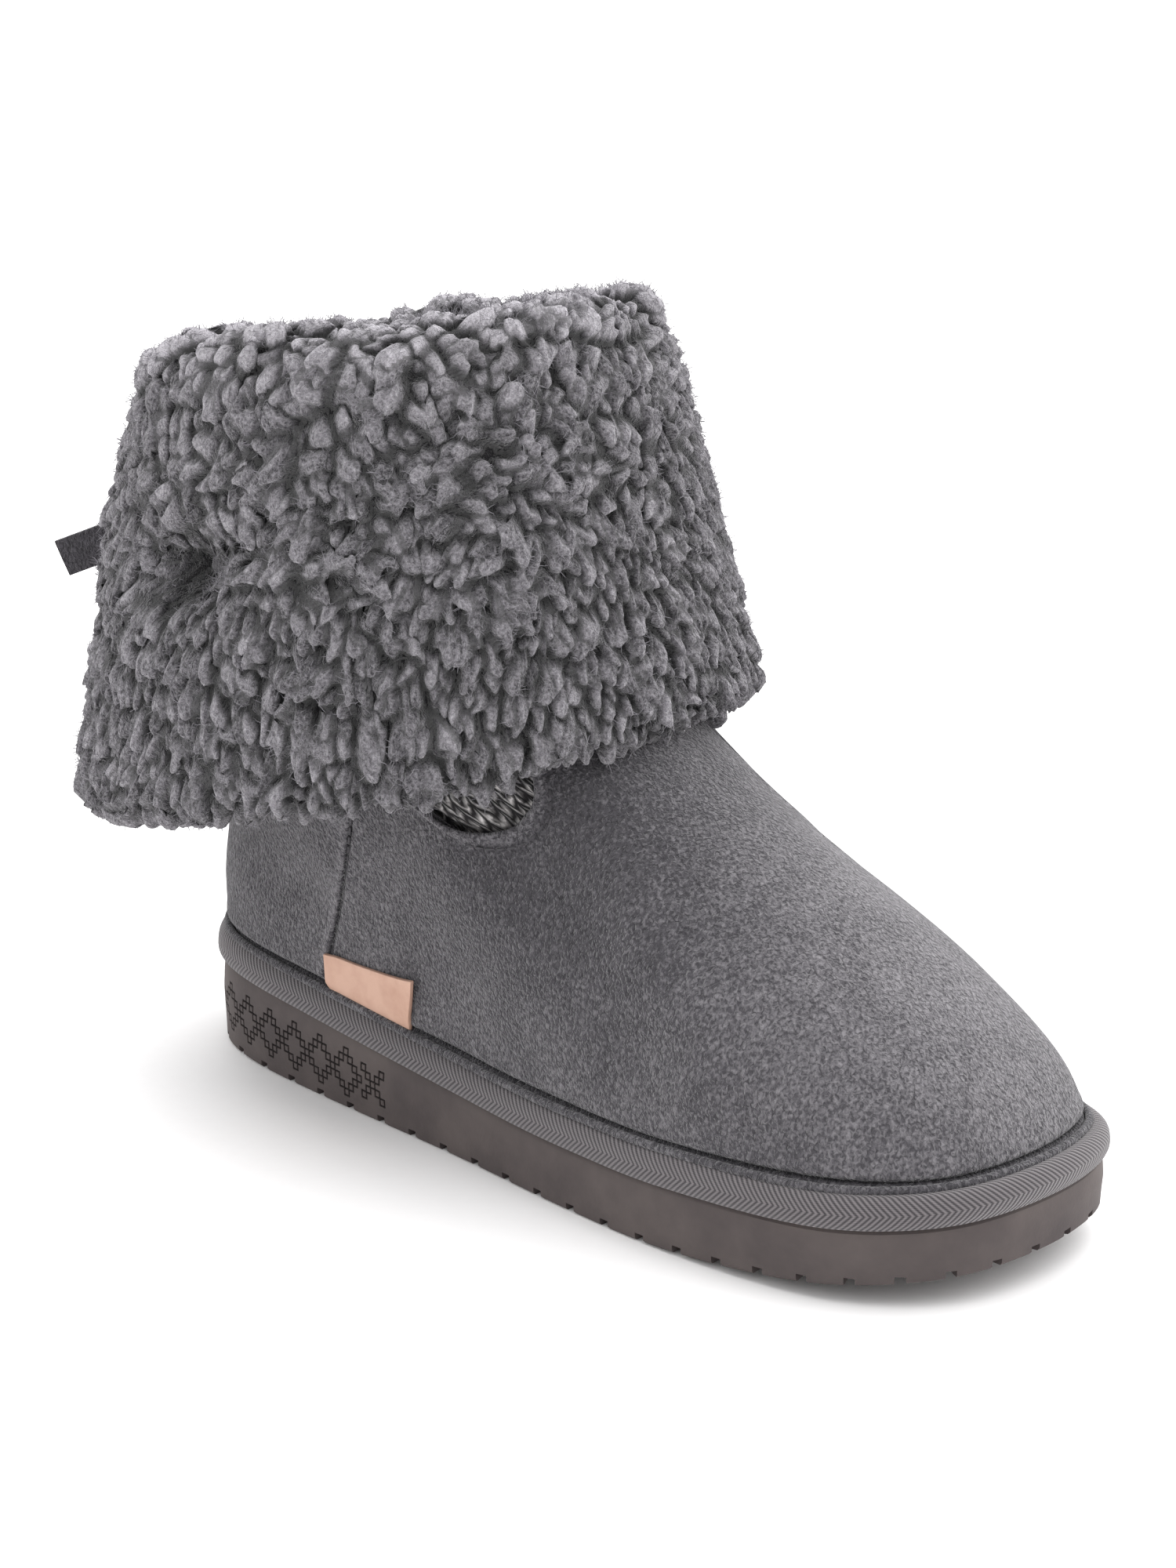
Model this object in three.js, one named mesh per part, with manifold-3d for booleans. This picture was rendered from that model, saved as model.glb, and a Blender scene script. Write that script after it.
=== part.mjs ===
// Fold-over winter boot for the right foot, standing empty on its sole.
// A suede foot, a knitted shaft whose fleece-lined top is turned down as a deep cuff, a bound edge
// on a thick moulded sole, and a flat tie at the cuff's back slit.
// Millimetres, +Z up, +X from heel to toe, +Y towards the inner side of the foot.

import * as THREE from "three";
import { mergeVertices } from "three/addons/utils/BufferGeometryUtils.js";
import Module from "manifold-3d";

const wasm = await Module();
wasm.setup();
const { lerp, smoothstep, clamp, degToRad } = THREE.MathUtils;

// Driving dimensions
const SOLE_LENGTH = 269;
const SOLE_HEEL_THICK = 23.5;
const SOLE_BALL_THICK = 16.5;
const SOLE_TOE_THICK = 13.5;
const TOE_SPRING = 9;
const SPRING_START = 0.64; // share of the length where the tread leaves the floor
const SPRING_POWER = 1.7;
const TREAD_BEVEL = 0.7;
const SIDE_BULGE = 0.5;
const NOTCH_PITCH = 12.1;
const NOTCH_WIDTH = 3.2;
const NOTCH_HEIGHT = 2.6;
const NOTCH_DEPTH = 7;
const INSOLE_THICK = 5;
const SUEDE_WALL = 2.5;
const COUNTER_RISE = 0.8; // the heel counter laps over the vamp by this much
const BACK_SEAM_RISE = 0.8; // and the seam down its back stands proud of it
const BACK_SEAM_WIDTH = 5;
const KNIT_WALL = 3;
const KNIT_RECESS = 1; // the knit lies this far behind the suede's face
const SHAFT_HALF_LENGTH = 57;
const SHAFT_HALF_WIDTH = 51;
const SHAFT_AXIS_FOLD = 56; // where the shaft's middle stands along X, at the fold
const SHAFT_AXIS_HEM = 64.5; // and level with the cuff's hem
const FOLD_HEIGHT = 201; // top of the fold above the floor, at the shaft's middle
const CUFF_SLOPE = 0.207; // the cuff is tilted, higher towards the toe
const CUFF_DROP = 109; // from the fold down to the hem
const SLIT_HALF_AT_FOLD = 4;
const SLIT_HALF_AT_HEM = 20;
const TUFTS_AROUND = 20;
const TUFT_LENGTH = 16;
const TUFT_RISE = 3.4;
const DIMPLE_DEPTH = 8;
const PATCH_DOWN = 46; // middle of the tie's patches below the fold
const PATCH_LENGTH = 30;
const PATCH_HEIGHT = 18;
const PATCH_THICK = 1.6;
const TIE_WIDTH = 10.5;
const TIE_THICK = 1.8;
const TAG_LENGTH = 34;
const TAG_TOP = 42; // above the floor
const TAG_THICK = 1.2;
const GAP = 0.3; // clearance between pieces that meet on a curve

// Sole outline seen from above: half-width and sideways curve of its middle line along the length
const SOLE_OUTLINE = [
  { along: 0.0, half: 0.0, centre: 0.0 },
  { along: 0.02, half: 17.0, centre: 0.0 },
  { along: 0.06, half: 27.6, centre: 0.0 },
  { along: 0.12, half: 33.5, centre: 0.0 },
  { along: 0.22, half: 36.8, centre: -0.2 },
  { along: 0.42, half: 38.9, centre: -2.5 },
  { along: 0.58, half: 43.6, centre: -2.6 },
  { along: 0.72, half: 48.1, centre: 0.0 },
  { along: 0.86, half: 45.9, centre: 1.4 },
  { along: 0.93, half: 38.4, centre: 2.6 },
  { along: 0.98, half: 25.4, centre: 4.6 },
  { along: 1.0, half: 0.0, centre: 6.0 },
];

// Level sections of the boot's form, a row for each height above the sole's edge.
// back and front are the ends along X, girth the greatest half-width, round the share of oval
// against foot shape, and wide the place of the oval's greatest width.
const FORM_SECTIONS = [
  { up: -8, back: 6.0, front: 261, girth: 42.8, round: 0.0, wide: 0.7 },
  { up: 0, back: 4.5, front: 263, girth: 43.8, round: 0.0, wide: 0.7 },
  { up: 10, back: 1.8, front: 264.5, girth: 45.4, round: 0.05, wide: 0.68 },
  { up: 22, back: 0.6, front: 260, girth: 45.4, round: 0.15, wide: 0.65 },
  { up: 34, back: 0.4, front: 249.5, girth: 44.4, round: 0.35, wide: 0.6 },
  { up: 48, back: 0.6, front: 230, girth: 43.4, round: 0.6, wide: 0.52 },
  { up: 62, back: 1.2, front: 205.5, girth: 42.4, round: 0.85, wide: 0.44 },
  { up: 76, back: 2.0, front: 176, girth: 42.6, round: 1.0, wide: 0.43 },
  { up: 90, back: 2.8, front: 149, girth: 44.5, round: 1.0, wide: 0.46 },
  { up: 104, back: 3.2, front: 129, girth: 47.5, round: 1.0, wide: 0.5 },
  { up: 122, back: 2.6, front: 119, girth: 50.5, round: 1.0, wide: 0.5 },
  { up: 200, back: -3.5, front: 112.5, girth: 52.0, round: 1.0, wide: 0.5 },
];
const FORM_BASE = 20; // height of the sole's edge that the sections are measured from
const LEVEL_FADE = 50; // above this the sections are level, below they follow the sole

// Collar of the suede seen from the side: it dips in front of the ankle and climbs the instep
const COLLAR_LINE = [
  { x: -60, z: 112 },
  { x: 4, z: 110 },
  { x: 40, z: 105 },
  { x: 75, z: 98 },
  { x: 100, z: 92 },
  { x: 114, z: 88 },
  { x: 124, z: 88 },
  { x: 131, z: 94 },
  { x: 133, z: 102 },
  { x: 124, z: 118 },
  { x: 111, z: 129 },
  { x: 116, z: 136 },
  { x: 190, z: 137 },
];

// Side seam between counter and vamp seen from the side, from just above the welt
const SIDE_SEAM = { foot: { x: 66.5, z: 32 }, head: { x: 75, z: 150 } };
const COUNTER_FOOT = 35.2; // lower edge of the counter at the back

// Turned-down cuff in section: out is the distance from the shaft's face, down from the fold
const CUFF_FLEECE = [
  { out: -9, down: 6 },
  { out: -4, down: 1.2 },
  { out: 2, down: 0 },
  { out: 8, down: 1.5 },
  { out: 12, down: 6.5 },
  { out: 15, down: 15 },
  { out: 18.5, down: 28 },
  { out: 22.5, down: 48 },
  { out: 27.5, down: 74 },
  { out: 31.5, down: 98 },
];
const CUFF_BACKING = [
  { out: 31.5, down: 105 },
  { out: 28, down: 109 },
  { out: 22, down: 108 },
  { out: 18, down: 101 },
  { out: 12.5, down: 74 },
  { out: 7.5, down: 44 },
  { out: 1.5, down: 15.5 },
  { out: -10.5, down: 15.5 },
];

// Binding round the sole's edge in section: out from the sole's outline, up from its top
const WELT_RIM = [
  { out: 0.4, up: 0 },
  { out: 1.9, up: 1.4 },
  { out: 2.5, up: 3.8 },
  { out: 2.0, up: 6.2 },
  { out: 0.7, up: 8.0 },
  { out: -1.1, up: 8.9 },
];
const WELT_INNER_HEIGHTS = [8.5, 5, 0.5]; // where it lies against the upper

// Tables are read with a smooth curve through their rows
function readTable(rows, key, at) {
  const last = rows.length - 1;
  const value = clamp(at, rows[0][key], rows[last][key]);
  let i = 0;
  while (i < last - 1 && value > rows[i + 1][key]) i++;
  const span = rows[i + 1][key] - rows[i][key];
  const t = (value - rows[i][key]) / span;
  const slope = (j, name) => {
    const a = rows[Math.max(j - 1, 0)];
    const b = rows[Math.min(j + 1, last)];
    return (b[name] - a[name]) / (b[key] - a[key]);
  };
  const read = {};
  for (const name of Object.keys(rows[0])) {
    const [p, q] = [rows[i][name], rows[i + 1][name]];
    const [m, n] = [slope(i, name) * span, slope(i + 1, name) * span];
    const rise = (q - p) * (3 - 2 * t) * t * t;
    read[name] = p + rise + m * t * (1 - t) * (1 - t) - n * t * t * (1 - t);
  }
  return read;
}

// Closed solids, to be joined and cut
function solidOf(geometry) {
  const bare = geometry.clone();
  bare.deleteAttribute("normal");
  bare.deleteAttribute("uv");
  const merged = mergeVertices(bare, 1e-4);
  return new wasm.Manifold(
    new wasm.Mesh({
      numProp: 3,
      vertProperties: merged.attributes.position.array,
      triVerts: new Uint32Array(merged.index.array),
    }),
  );
}

function solidFrom(points, triangles) {
  return solidOf(new THREE.BufferGeometry().setFromPoints(points).setIndex(triangles));
}

function geometryOf(solid) {
  const mesh = solid.getMesh();
  const geometry = new THREE.BufferGeometry();
  geometry.setAttribute("position", new THREE.BufferAttribute(mesh.vertProperties, 3));
  geometry.setIndex(new THREE.BufferAttribute(mesh.triVerts, 1));
  geometry.computeVertexNormals();
  return geometry;
}

// Rings of points from the bottom up, each running heel, outer side, toe, inner side.
// The caps are strips from side to side.
function loft(rings) {
  const count = rings[0].length;
  const top = (rings.length - 1) * count;
  const triangles = [];
  for (let level = 0; level + 1 < rings.length; level++) {
    for (let k = 0; k < count; k++) {
      const a = level * count + k;
      const b = level * count + ((k + 1) % count);
      triangles.push(a, b, b + count, a, b + count, a + count);
    }
  }
  for (let k = 0; k < count / 2; k++) {
    const [a, b] = [k, k + 1];
    const [c, d] = [(count - k - 1) % count, (count - k) % count];
    if (b !== c) triangles.push(a, c, b, top + a, top + b, top + c);
    if (a !== d) triangles.push(a, d, c, top + a, top + c, top + d);
  }
  return solidFrom(rings.flat(), triangles);
}

// A closed section carried round a loop, or along an open path whose ends the flat section closes
function sweep(sections, flatSection = null) {
  const count = sections[0].length;
  const stations = sections.length;
  const triangles = [];
  for (let i = 0; i < (flatSection ? stations - 1 : stations); i++) {
    const [here, next] = [i * count, ((i + 1) % stations) * count];
    for (let k = 0; k < count; k++) {
      const after = (k + 1) % count;
      triangles.push(here + k, next + after, here + after, here + k, next + k, next + after);
    }
  }
  if (flatSection) {
    const last = (stations - 1) * count;
    const winding = Math.sign(THREE.ShapeUtils.area(flatSection));
    for (const [a, b, c] of THREE.ShapeUtils.triangulateShape(flatSection, [])) {
      const area = THREE.ShapeUtils.area([flatSection[a], flatSection[b], flatSection[c]]);
      const [p, q] = area * winding > 0 ? [b, c] : [c, b];
      triangles.push(a, p, q, last + a, last + q, last + p);
    }
  }
  const made = solidFrom(sections.flat(), triangles);
  return made.volume() > 0 ? made : solidFrom(sections.flat(), triangles.reverse());
}

// A block across the boot, drawn as a polygon in side view
const BLOCK_WIDTH = 300;

function sideBlock(corners, width = BLOCK_WIDTH) {
  const shape = new THREE.Shape(corners.map(([x, z]) => new THREE.Vector2(x, z)));
  const block = new THREE.ExtrudeGeometry(shape, { depth: width, bevelEnabled: false });
  block.rotateX(Math.PI / 2);
  block.translate(0, width / 2, 0);
  return solidOf(block);
}

// A block across the boot above a smooth line drawn in side view, grown by the given spread
function aboveLine(line, spread = 0) {
  const curve = new THREE.SplineCurve(line.map(({ x, z }) => new THREE.Vector2(x, z)));
  const samples = 3 * (line.length - 1);
  const headroom = 400;
  const corners = [];
  for (let i = 0; i <= samples; i++) {
    const point = curve.getPoint(i / samples);
    const tangent = curve.getTangent(i / samples);
    corners.push([point.x + spread * tangent.y, point.y - spread * tangent.x]);
  }
  return sideBlock([...corners, [line[line.length - 1].x, headroom], [line[0].x, headroom]]);
}

// A turn runs from 0 at the heel to PI at the toe, side is -1 outside the foot and +1 inside it
function ringOf(halfCount, pointAt) {
  const ring = [];
  for (let k = 0; k < 2 * halfCount; k++) {
    const side = k <= halfCount ? -1 : 1;
    const turn = (Math.PI * (k <= halfCount ? k : 2 * halfCount - k)) / halfCount;
    ring.push(pointAt(turn, side));
  }
  return ring;
}

// From just behind to just ahead on the ring, past the heel and the toe as well
function alongRing(turn, side, pointAt) {
  const step = 0.03;
  const past = (t) => {
    if (t < 0) return pointAt(-t, -side);
    if (t > Math.PI) return pointAt(2 * Math.PI - t, -side);
    return pointAt(t, side);
  };
  return past(turn + step).sub(past(turn - step));
}

// The sole's outline and heights
const SOLE_SAMPLES = 28;
const OUTLINE_WIDEST = Math.max(...SOLE_OUTLINE.map((row) => row.half));
const OUTLINE_BY_TURN = SOLE_OUTLINE.map(({ along, half, centre }) => {
  return { turn: Math.acos(1 - 2 * along), half, centre };
});

function solePlan(turn, side) {
  const { half, centre } = readTable(OUTLINE_BY_TURN, "turn", turn);
  return new THREE.Vector2(SOLE_LENGTH * (0.5 - 0.5 * Math.cos(turn)), centre + side * half);
}

function soleNormal(turn, side) {
  const along = alongRing(turn, side, solePlan).normalize();
  return new THREE.Vector2(-side * along.y, side * along.x);
}

function treadHeight(x) {
  const past = Math.max(0, (x / SOLE_LENGTH - SPRING_START) / (1 - SPRING_START));
  return TOE_SPRING * past ** SPRING_POWER;
}

function soleTop(x) {
  const share = clamp(x / SOLE_LENGTH, 0, 1);
  const toBall = lerp(SOLE_HEEL_THICK, SOLE_BALL_THICK, smoothstep(share, 0.05, 0.55));
  return treadHeight(x) + lerp(toBall, SOLE_TOE_THICK, smoothstep(share, 0.7, 1));
}

function soleRing(halfCount, out, heightAt) {
  return ringOf(halfCount, (turn, side) => {
    const plan = solePlan(turn, side).addScaledVector(soleNormal(turn, side), out);
    return new THREE.Vector3(plan.x, plan.y, heightAt(plan.x));
  });
}

// A wide slab between two heights that follow the sole
function overSole(bottom, top) {
  const spread = 30;
  return loft([soleRing(SOLE_SAMPLES, spread, bottom), soleRing(SOLE_SAMPLES, spread, top)]);
}

// Outsole: one moulded slab, its tread edge bevelled and notched all round
function notches() {
  const samples = ringOf(360, (turn, side) => {
    return { plan: solePlan(turn, side), normal: soleNormal(turn, side) };
  });
  const steps = samples.map(({ plan }, i) => plan.distanceTo(samples[(i + 1) % samples.length].plan));
  const perimeter = steps.reduce((sum, step) => sum + step, 0);
  const count = Math.round(perimeter / NOTCH_PITCH);
  const cutters = [];
  let walked = 0;
  samples.forEach(({ plan, normal }, i) => {
    if (walked >= ((cutters.length + 0.5) * perimeter) / count) {
      const box = new THREE.BoxGeometry(2 * NOTCH_DEPTH, NOTCH_WIDTH, 2 * NOTCH_HEIGHT);
      box.rotateZ(Math.atan2(normal.y, normal.x));
      box.translate(plan.x, plan.y, treadHeight(plan.x));
      cutters.push(solidOf(box));
    }
    walked += steps[i];
  });
  return wasm.Manifold.union(cutters);
}

function outsole() {
  const slab = loft([
    soleRing(SOLE_SAMPLES, -TREAD_BEVEL, treadHeight),
    soleRing(SOLE_SAMPLES, 0, (x) => treadHeight(x) + TREAD_BEVEL),
    soleRing(SOLE_SAMPLES, SIDE_BULGE, (x) => lerp(treadHeight(x), soleTop(x), 0.6)),
    soleRing(SOLE_SAMPLES, 0, soleTop),
  ]);
  return slab.subtract(notches());
}

// The boot's form: a point of its face for a turn, a side and a height above the sole's edge
function formPoint(turn, side, up) {
  const row = readTable(FORM_SECTIONS, "up", up);
  const foot = readTable(OUTLINE_BY_TURN, "turn", turn);
  const share = 0.5 - 0.5 * Math.cos(turn);
  const reach = share < row.wide ? 1 - share / row.wide : (share - row.wide) / (1 - row.wide);
  const oval = Math.sqrt(Math.max(0, 1 - reach * reach));
  const half = row.girth * lerp(foot.half / OUTLINE_WIDEST, oval, row.round);
  const x = lerp(row.back, row.front, share);
  const follow = 1 - smoothstep(up, 0, LEVEL_FADE);
  const z = FORM_BASE + up + (soleTop(x) - FORM_BASE) * follow;
  return new THREE.Vector3(x, foot.centre * (1 - row.round) + side * half, z);
}

function formNormal(turn, side, up) {
  const step = 1.5;
  const around = alongRing(turn, side, (t, s) => formPoint(t, s, up));
  const rise = formPoint(turn, side, up + step).sub(formPoint(turn, side, up - step));
  return around.cross(rise).multiplyScalar(-side).normalize();
}

function formFace(turn, side, up, offset) {
  return formPoint(turn, side, up).addScaledVector(formNormal(turn, side, up), offset);
}

// The form as a solid, grown or shrunk along its own normals
const OUTER_SAMPLES = 26;
const INNER_SAMPLES = 18;
const OUTER_LEVELS = [-6, 0, 5, 11, 19, 29, 40, 52, 64, 76, 88, 102, 120, 140];
const INNER_LEVELS = [-6, 5, 19, 40, 64, 76, 88, 102, 120, 140];
const SHAFT_LEVELS = [62, 76, 92, 120, 200];

function form(offset, halfCount, levels) {
  return loft(levels.map((up) => ringOf(halfCount, (turn, side) => formFace(turn, side, up, offset))));
}

// The outside of the upper, with the counter lapped at both sides and the seam down its back
function outside(offset) {
  const { foot, head } = SIDE_SEAM;
  const [far, near] = [-60, 30]; // behind the heel, and ahead of the back seam
  const behind = [
    [far, COUNTER_FOOT - offset],
    [foot.x + offset, foot.z - offset],
    [head.x + offset, head.z],
    [far, head.z],
  ];
  const heel = [[far, COUNTER_FOOT], [near, COUNTER_FOOT], [near, head.z], [far, head.z]];
  const counter = form(offset + COUNTER_RISE, OUTER_SAMPLES, OUTER_LEVELS);
  const backSeam = form(offset + COUNTER_RISE + BACK_SEAM_RISE, OUTER_SAMPLES, OUTER_LEVELS);
  return form(offset, OUTER_SAMPLES, OUTER_LEVELS)
    .add(counter.intersect(sideBlock(behind)))
    .add(backSeam.intersect(sideBlock(heel, BACK_SEAM_WIDTH)));
}

// Upper: the suede foot, one wall open at the collar and underneath
function upper() {
  const wall = outside(0).subtract(form(-SUEDE_WALL, INNER_SAMPLES, INNER_LEVELS));
  const open = wall.subtract(aboveLine(COLLAR_LINE, GAP));
  const underneath = overSole(() => -SOLE_HEEL_THICK, (x) => soleTop(x) + GAP);
  return open.subtract(underneath);
}

// Welt: woven tape rolled over the sole's edge, lying against the upper on its inner side
function welt() {
  const rim = WELT_RIM.map(({ out, up }) => soleRing(OUTER_SAMPLES, out, (x) => soleTop(x) + GAP + up));
  const inner = WELT_INNER_HEIGHTS.map((up) => {
    return ringOf(OUTER_SAMPLES, (turn, side) => formFace(turn, side, up, GAP));
  });
  const loops = [...rim, ...inner];
  return sweep(loops[0].map((_, k) => loops.map((loop) => loop[k])));
}

// Insole: the padded footbed, as wide as the inside of the upper
function insole() {
  const inside = form(-SUEDE_WALL - GAP, INNER_SAMPLES, INNER_LEVELS);
  return inside.intersect(overSole((x) => soleTop(x) + GAP, (x) => soleTop(x) + GAP + INSOLE_THICK));
}

// Tag: a bare leather tab sewn into the welt's seam over the foot of the side seam
function tag() {
  const from = SIDE_SEAM.foot.x - 3;
  const to = from + TAG_LENGTH;
  const tab = sideBlock([[from, 0], [to, 0], [to, TAG_TOP + 1], [from, TAG_TOP]]);
  const outerSide = solidOf(new THREE.BoxGeometry(BLOCK_WIDTH, 100, 200).translate(0, -50, 0));
  const sheet = outside(GAP + TAG_THICK).subtract(outside(GAP));
  const weltTop = Math.max(...WELT_RIM.map((row) => row.up)) + 2 * GAP;
  const above = overSole((x) => soleTop(x) + weltTop, () => 2 * TAG_TOP);
  return sheet.intersect(tab).intersect(outerSide).intersect(above);
}

// The turned-down cuff's own frame: an angle from the back slit round by the outer side, out and down
function cuffAxis(down) {
  return lerp(SHAFT_AXIS_FOLD, SHAFT_AXIS_HEM, down / CUFF_DROP);
}

function cuffPoint(angle, out, down) {
  const reach = -Math.cos(angle) * (SHAFT_HALF_LENGTH + out);
  const y = -Math.sin(angle) * (SHAFT_HALF_WIDTH + out);
  return new THREE.Vector3(cuffAxis(down) + reach, y, FOLD_HEIGHT - down + CUFF_SLOPE * reach);
}

// Shaft: the knitted tube that stands in the collar and runs up into the fold
function shaft() {
  const outer = form(-KNIT_RECESS, INNER_SAMPLES, SHAFT_LEVELS);
  const inner = form(-KNIT_RECESS - KNIT_WALL, INNER_SAMPLES, SHAFT_LEVELS);
  const { down } = CUFF_BACKING[CUFF_BACKING.length - 1];
  const topLine = [-60, 200].map((x) => {
    return { x, z: FOLD_HEIGHT - down - GAP + CUFF_SLOPE * (x - cuffAxis(down)) };
  });
  return outer.subtract(inner).intersect(aboveLine(COLLAR_LINE)).subtract(aboveLine(topLine));
}

// Locks of fleece hang in staggered rows, thickest near their tips and no two alike
function scatter(i, j) {
  const value = Math.sin(i * 12.9898 + j * 78.233) * 43758.5453;
  return value - Math.floor(value);
}

function tuftRise(turns, rows) {
  const row = Math.floor(rows);
  const column = turns * TUFTS_AROUND + (row % 2) / 2;
  const across = column - Math.floor(column) - 0.5;
  const lock = Math.cos(Math.PI * across * 0.9) * smoothstep(rows - row, -0.3, 0.75);
  return TUFT_RISE * lock * lerp(0.5, 1, scatter(Math.floor(column) % TUFTS_AROUND, row));
}

// The tie's patches pull the fleece in at both sides
function dimple(angle, down) {
  const turn = Math.min(Math.abs(angle - Math.PI / 2), Math.abs(angle - 1.5 * Math.PI));
  const across = (turn * SHAFT_HALF_LENGTH) / (PATCH_LENGTH / 2);
  const along = (down - PATCH_DOWN) / (PATCH_HEIGHT * 0.6);
  return DIMPLE_DEPTH * Math.exp(-across * across - along * along);
}

// Half the slit's opening, as an angle
function slitAngle(out, down) {
  const half = lerp(SLIT_HALF_AT_FOLD, SLIT_HALF_AT_HEM, clamp(down / CUFF_DROP, 0, 1));
  return Math.asin(half / (SHAFT_HALF_WIDTH + out));
}

// Fleece cuff: the lined top of the shaft turned down over itself, split down the back
const CUFF_COLUMNS = 3 * TUFTS_AROUND;
const CUFF_ROWS = 17;

function fleeceCuff() {
  const fleece = new THREE.SplineCurve(CUFF_FLEECE.map(({ out, down }) => new THREE.Vector2(out, down)));
  const backing = CUFF_BACKING.map(({ out, down }) => new THREE.Vector2(out, down));
  const flat = [...fleece.getSpacedPoints(CUFF_ROWS), ...backing];
  const rowsOfTufts = fleece.getLength() / TUFT_LENGTH;
  const sections = [];
  for (let i = 0; i <= CUFF_COLUMNS; i++) {
    const around = i / CUFF_COLUMNS;
    const section = flat.map(({ x: out, y: down }, j) => {
      const start = slitAngle(out, down);
      const angle = lerp(start, 2 * Math.PI - start, around);
      if (j > CUFF_ROWS) return cuffPoint(angle, out, down);
      const tangent = fleece.getTangentAt(j / CUFF_ROWS);
      const rise = tuftRise(around, (rowsOfTufts * j) / CUFF_ROWS) - dimple(angle, down);
      return cuffPoint(angle, out + tangent.y * rise, down - tangent.x * rise);
    });
    sections.push(section);
  }
  return sweep(sections, flat).subtract(outside(GAP));
}

// Tie patches: suede sewn to the cuff's backing at each side
const PATCH_STEPS = 4;
const PATCH_ROWS = [-0.5, 0, 0.5];

function backingOut(down) {
  const rows = CUFF_BACKING.slice(3, -1).reverse();
  const next = Math.max(1, rows.findIndex((row) => row.down > down));
  const [a, b] = [rows[next - 1], rows[next]];
  return lerp(a.out, b.out, (down - a.down) / (b.down - a.down));
}

function tiePatch(middle) {
  const face = PATCH_ROWS.map((row) => {
    const down = PATCH_DOWN + row * PATCH_HEIGHT;
    return new THREE.Vector2(backingOut(down) - GAP, down);
  });
  const under = face.map(({ x, y }) => new THREE.Vector2(x - PATCH_THICK, y)).reverse();
  const flat = [...face, ...under];
  const half = PATCH_LENGTH / 2 / SHAFT_HALF_LENGTH;
  const sections = [];
  for (let i = 0; i <= PATCH_STEPS; i++) {
    const angle = middle + lerp(-half, half, i / PATCH_STEPS);
    sections.push(flat.map(({ x, y }) => cuffPoint(angle, x, y)));
  }
  return sweep(sections, flat);
}

// Tie: flat suede strips from both patches, knotted in the slit with two loops and two ends
const KNOT_OUT = 14;
const KNOT_DOWN = 50;
const KNOT_RADIUS = 6.5;
const KNOT_LENGTH = 13;

// Strip from the outer side's patch round the backing to the knot: degrees from the slit, out, down
const STRIP_PATH = [
  { angle: 88, out: 3.7, down: 46 },
  { angle: 72, out: 3.7, down: 46 },
  { angle: 54, out: 5, down: 47 },
  { angle: 34, out: 5, down: 49 },
  { angle: 19, out: 4.5, down: 50 },
  { angle: 9, out: 5.5, down: 50 },
  { angle: 3, out: 9.5, down: 50 },
  { angle: -1, out: 14, down: 50 },
];

// Loops and ends, measured from the knot: back is away from the boot, side away from the middle
const LOOP_PATH = [
  { back: 0, side: 3, drop: 1 },
  { back: 5, side: 6.6, drop: 8 },
  { back: 10, side: 8, drop: 19 },
  { back: 10, side: 8.5, drop: 28 },
  { back: 5, side: 8, drop: 26 },
  { back: 2, side: 6.6, drop: 13 },
  { back: 0.5, side: 3, drop: 3 },
];
const LOOSE_END_PATH = [
  { back: 0, side: 0, drop: -1 },
  { back: 9, side: 3, drop: -1 },
  { back: 20, side: 10, drop: 4 },
  { back: 36, side: 22, drop: 14 },
];
const HANGING_END_PATH = [
  { back: -1, side: 1, drop: 1 },
  { back: -4.5, side: 4, drop: 12 },
  { back: -6, side: 5.5, drop: 32 },
  { back: -3, side: 5, drop: 46 },
];

function ribbon(points, widthway, steps) {
  const curve = new THREE.CatmullRomCurve3(points);
  const flat = [[1, 1], [1, -1], [-1, -1], [-1, 1]].map(([a, b]) => {
    return new THREE.Vector2((a * TIE_WIDTH) / 2, (b * TIE_THICK) / 2);
  });
  const sections = [];
  for (let i = 0; i <= steps; i++) {
    const middle = curve.getPointAt(i / steps);
    const tangent = curve.getTangentAt(i / steps);
    const across = widthway.clone().projectOnPlane(tangent).normalize();
    const through = tangent.clone().cross(across);
    const corner = ({ x, y }) => middle.clone().addScaledVector(across, x).addScaledVector(through, y);
    sections.push(flat.map(corner));
  }
  return sweep(sections, flat);
}

function tie() {
  const knot = cuffPoint(0, KNOT_OUT, KNOT_DOWN);
  const upright = new THREE.Vector3(0, 0, 1);
  const sideways = new THREE.Vector3(0, 1, 0);
  const fromKnot = (path, side) =>
    path.map((row) => new THREE.Vector3(knot.x - row.back, knot.y + side * row.side, knot.z - row.drop));
  const strip = (side) => STRIP_PATH.map((row) => cuffPoint(side * degToRad(row.angle), row.out, row.down));
  const wrap = new THREE.CylinderGeometry(KNOT_RADIUS, KNOT_RADIUS, KNOT_LENGTH, 9);
  return wasm.Manifold.union([
    solidOf(wrap.translate(knot.x, knot.y, knot.z)),
    ribbon(strip(1), upright, 9),
    ribbon(strip(-1), upright, 9),
    ribbon(fromKnot(LOOP_PATH, -1), sideways, 9),
    ribbon(fromKnot(LOOP_PATH, 1), sideways, 9),
    ribbon(fromKnot(LOOSE_END_PATH, -1), upright, 5),
    ribbon(fromKnot(HANGING_END_PATH, 1), sideways, 5),
  ]);
}

// The pieces, with the frame's origin on the floor below the middle of the whole
const boot = new THREE.Group();

function addPiece(name, solid, color, roughness) {
  const material = new THREE.MeshStandardMaterial({ color, roughness, metalness: 0 });
  const mesh = new THREE.Mesh(geometryOf(solid), material);
  mesh.name = name;
  boot.add(mesh);
}

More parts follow.
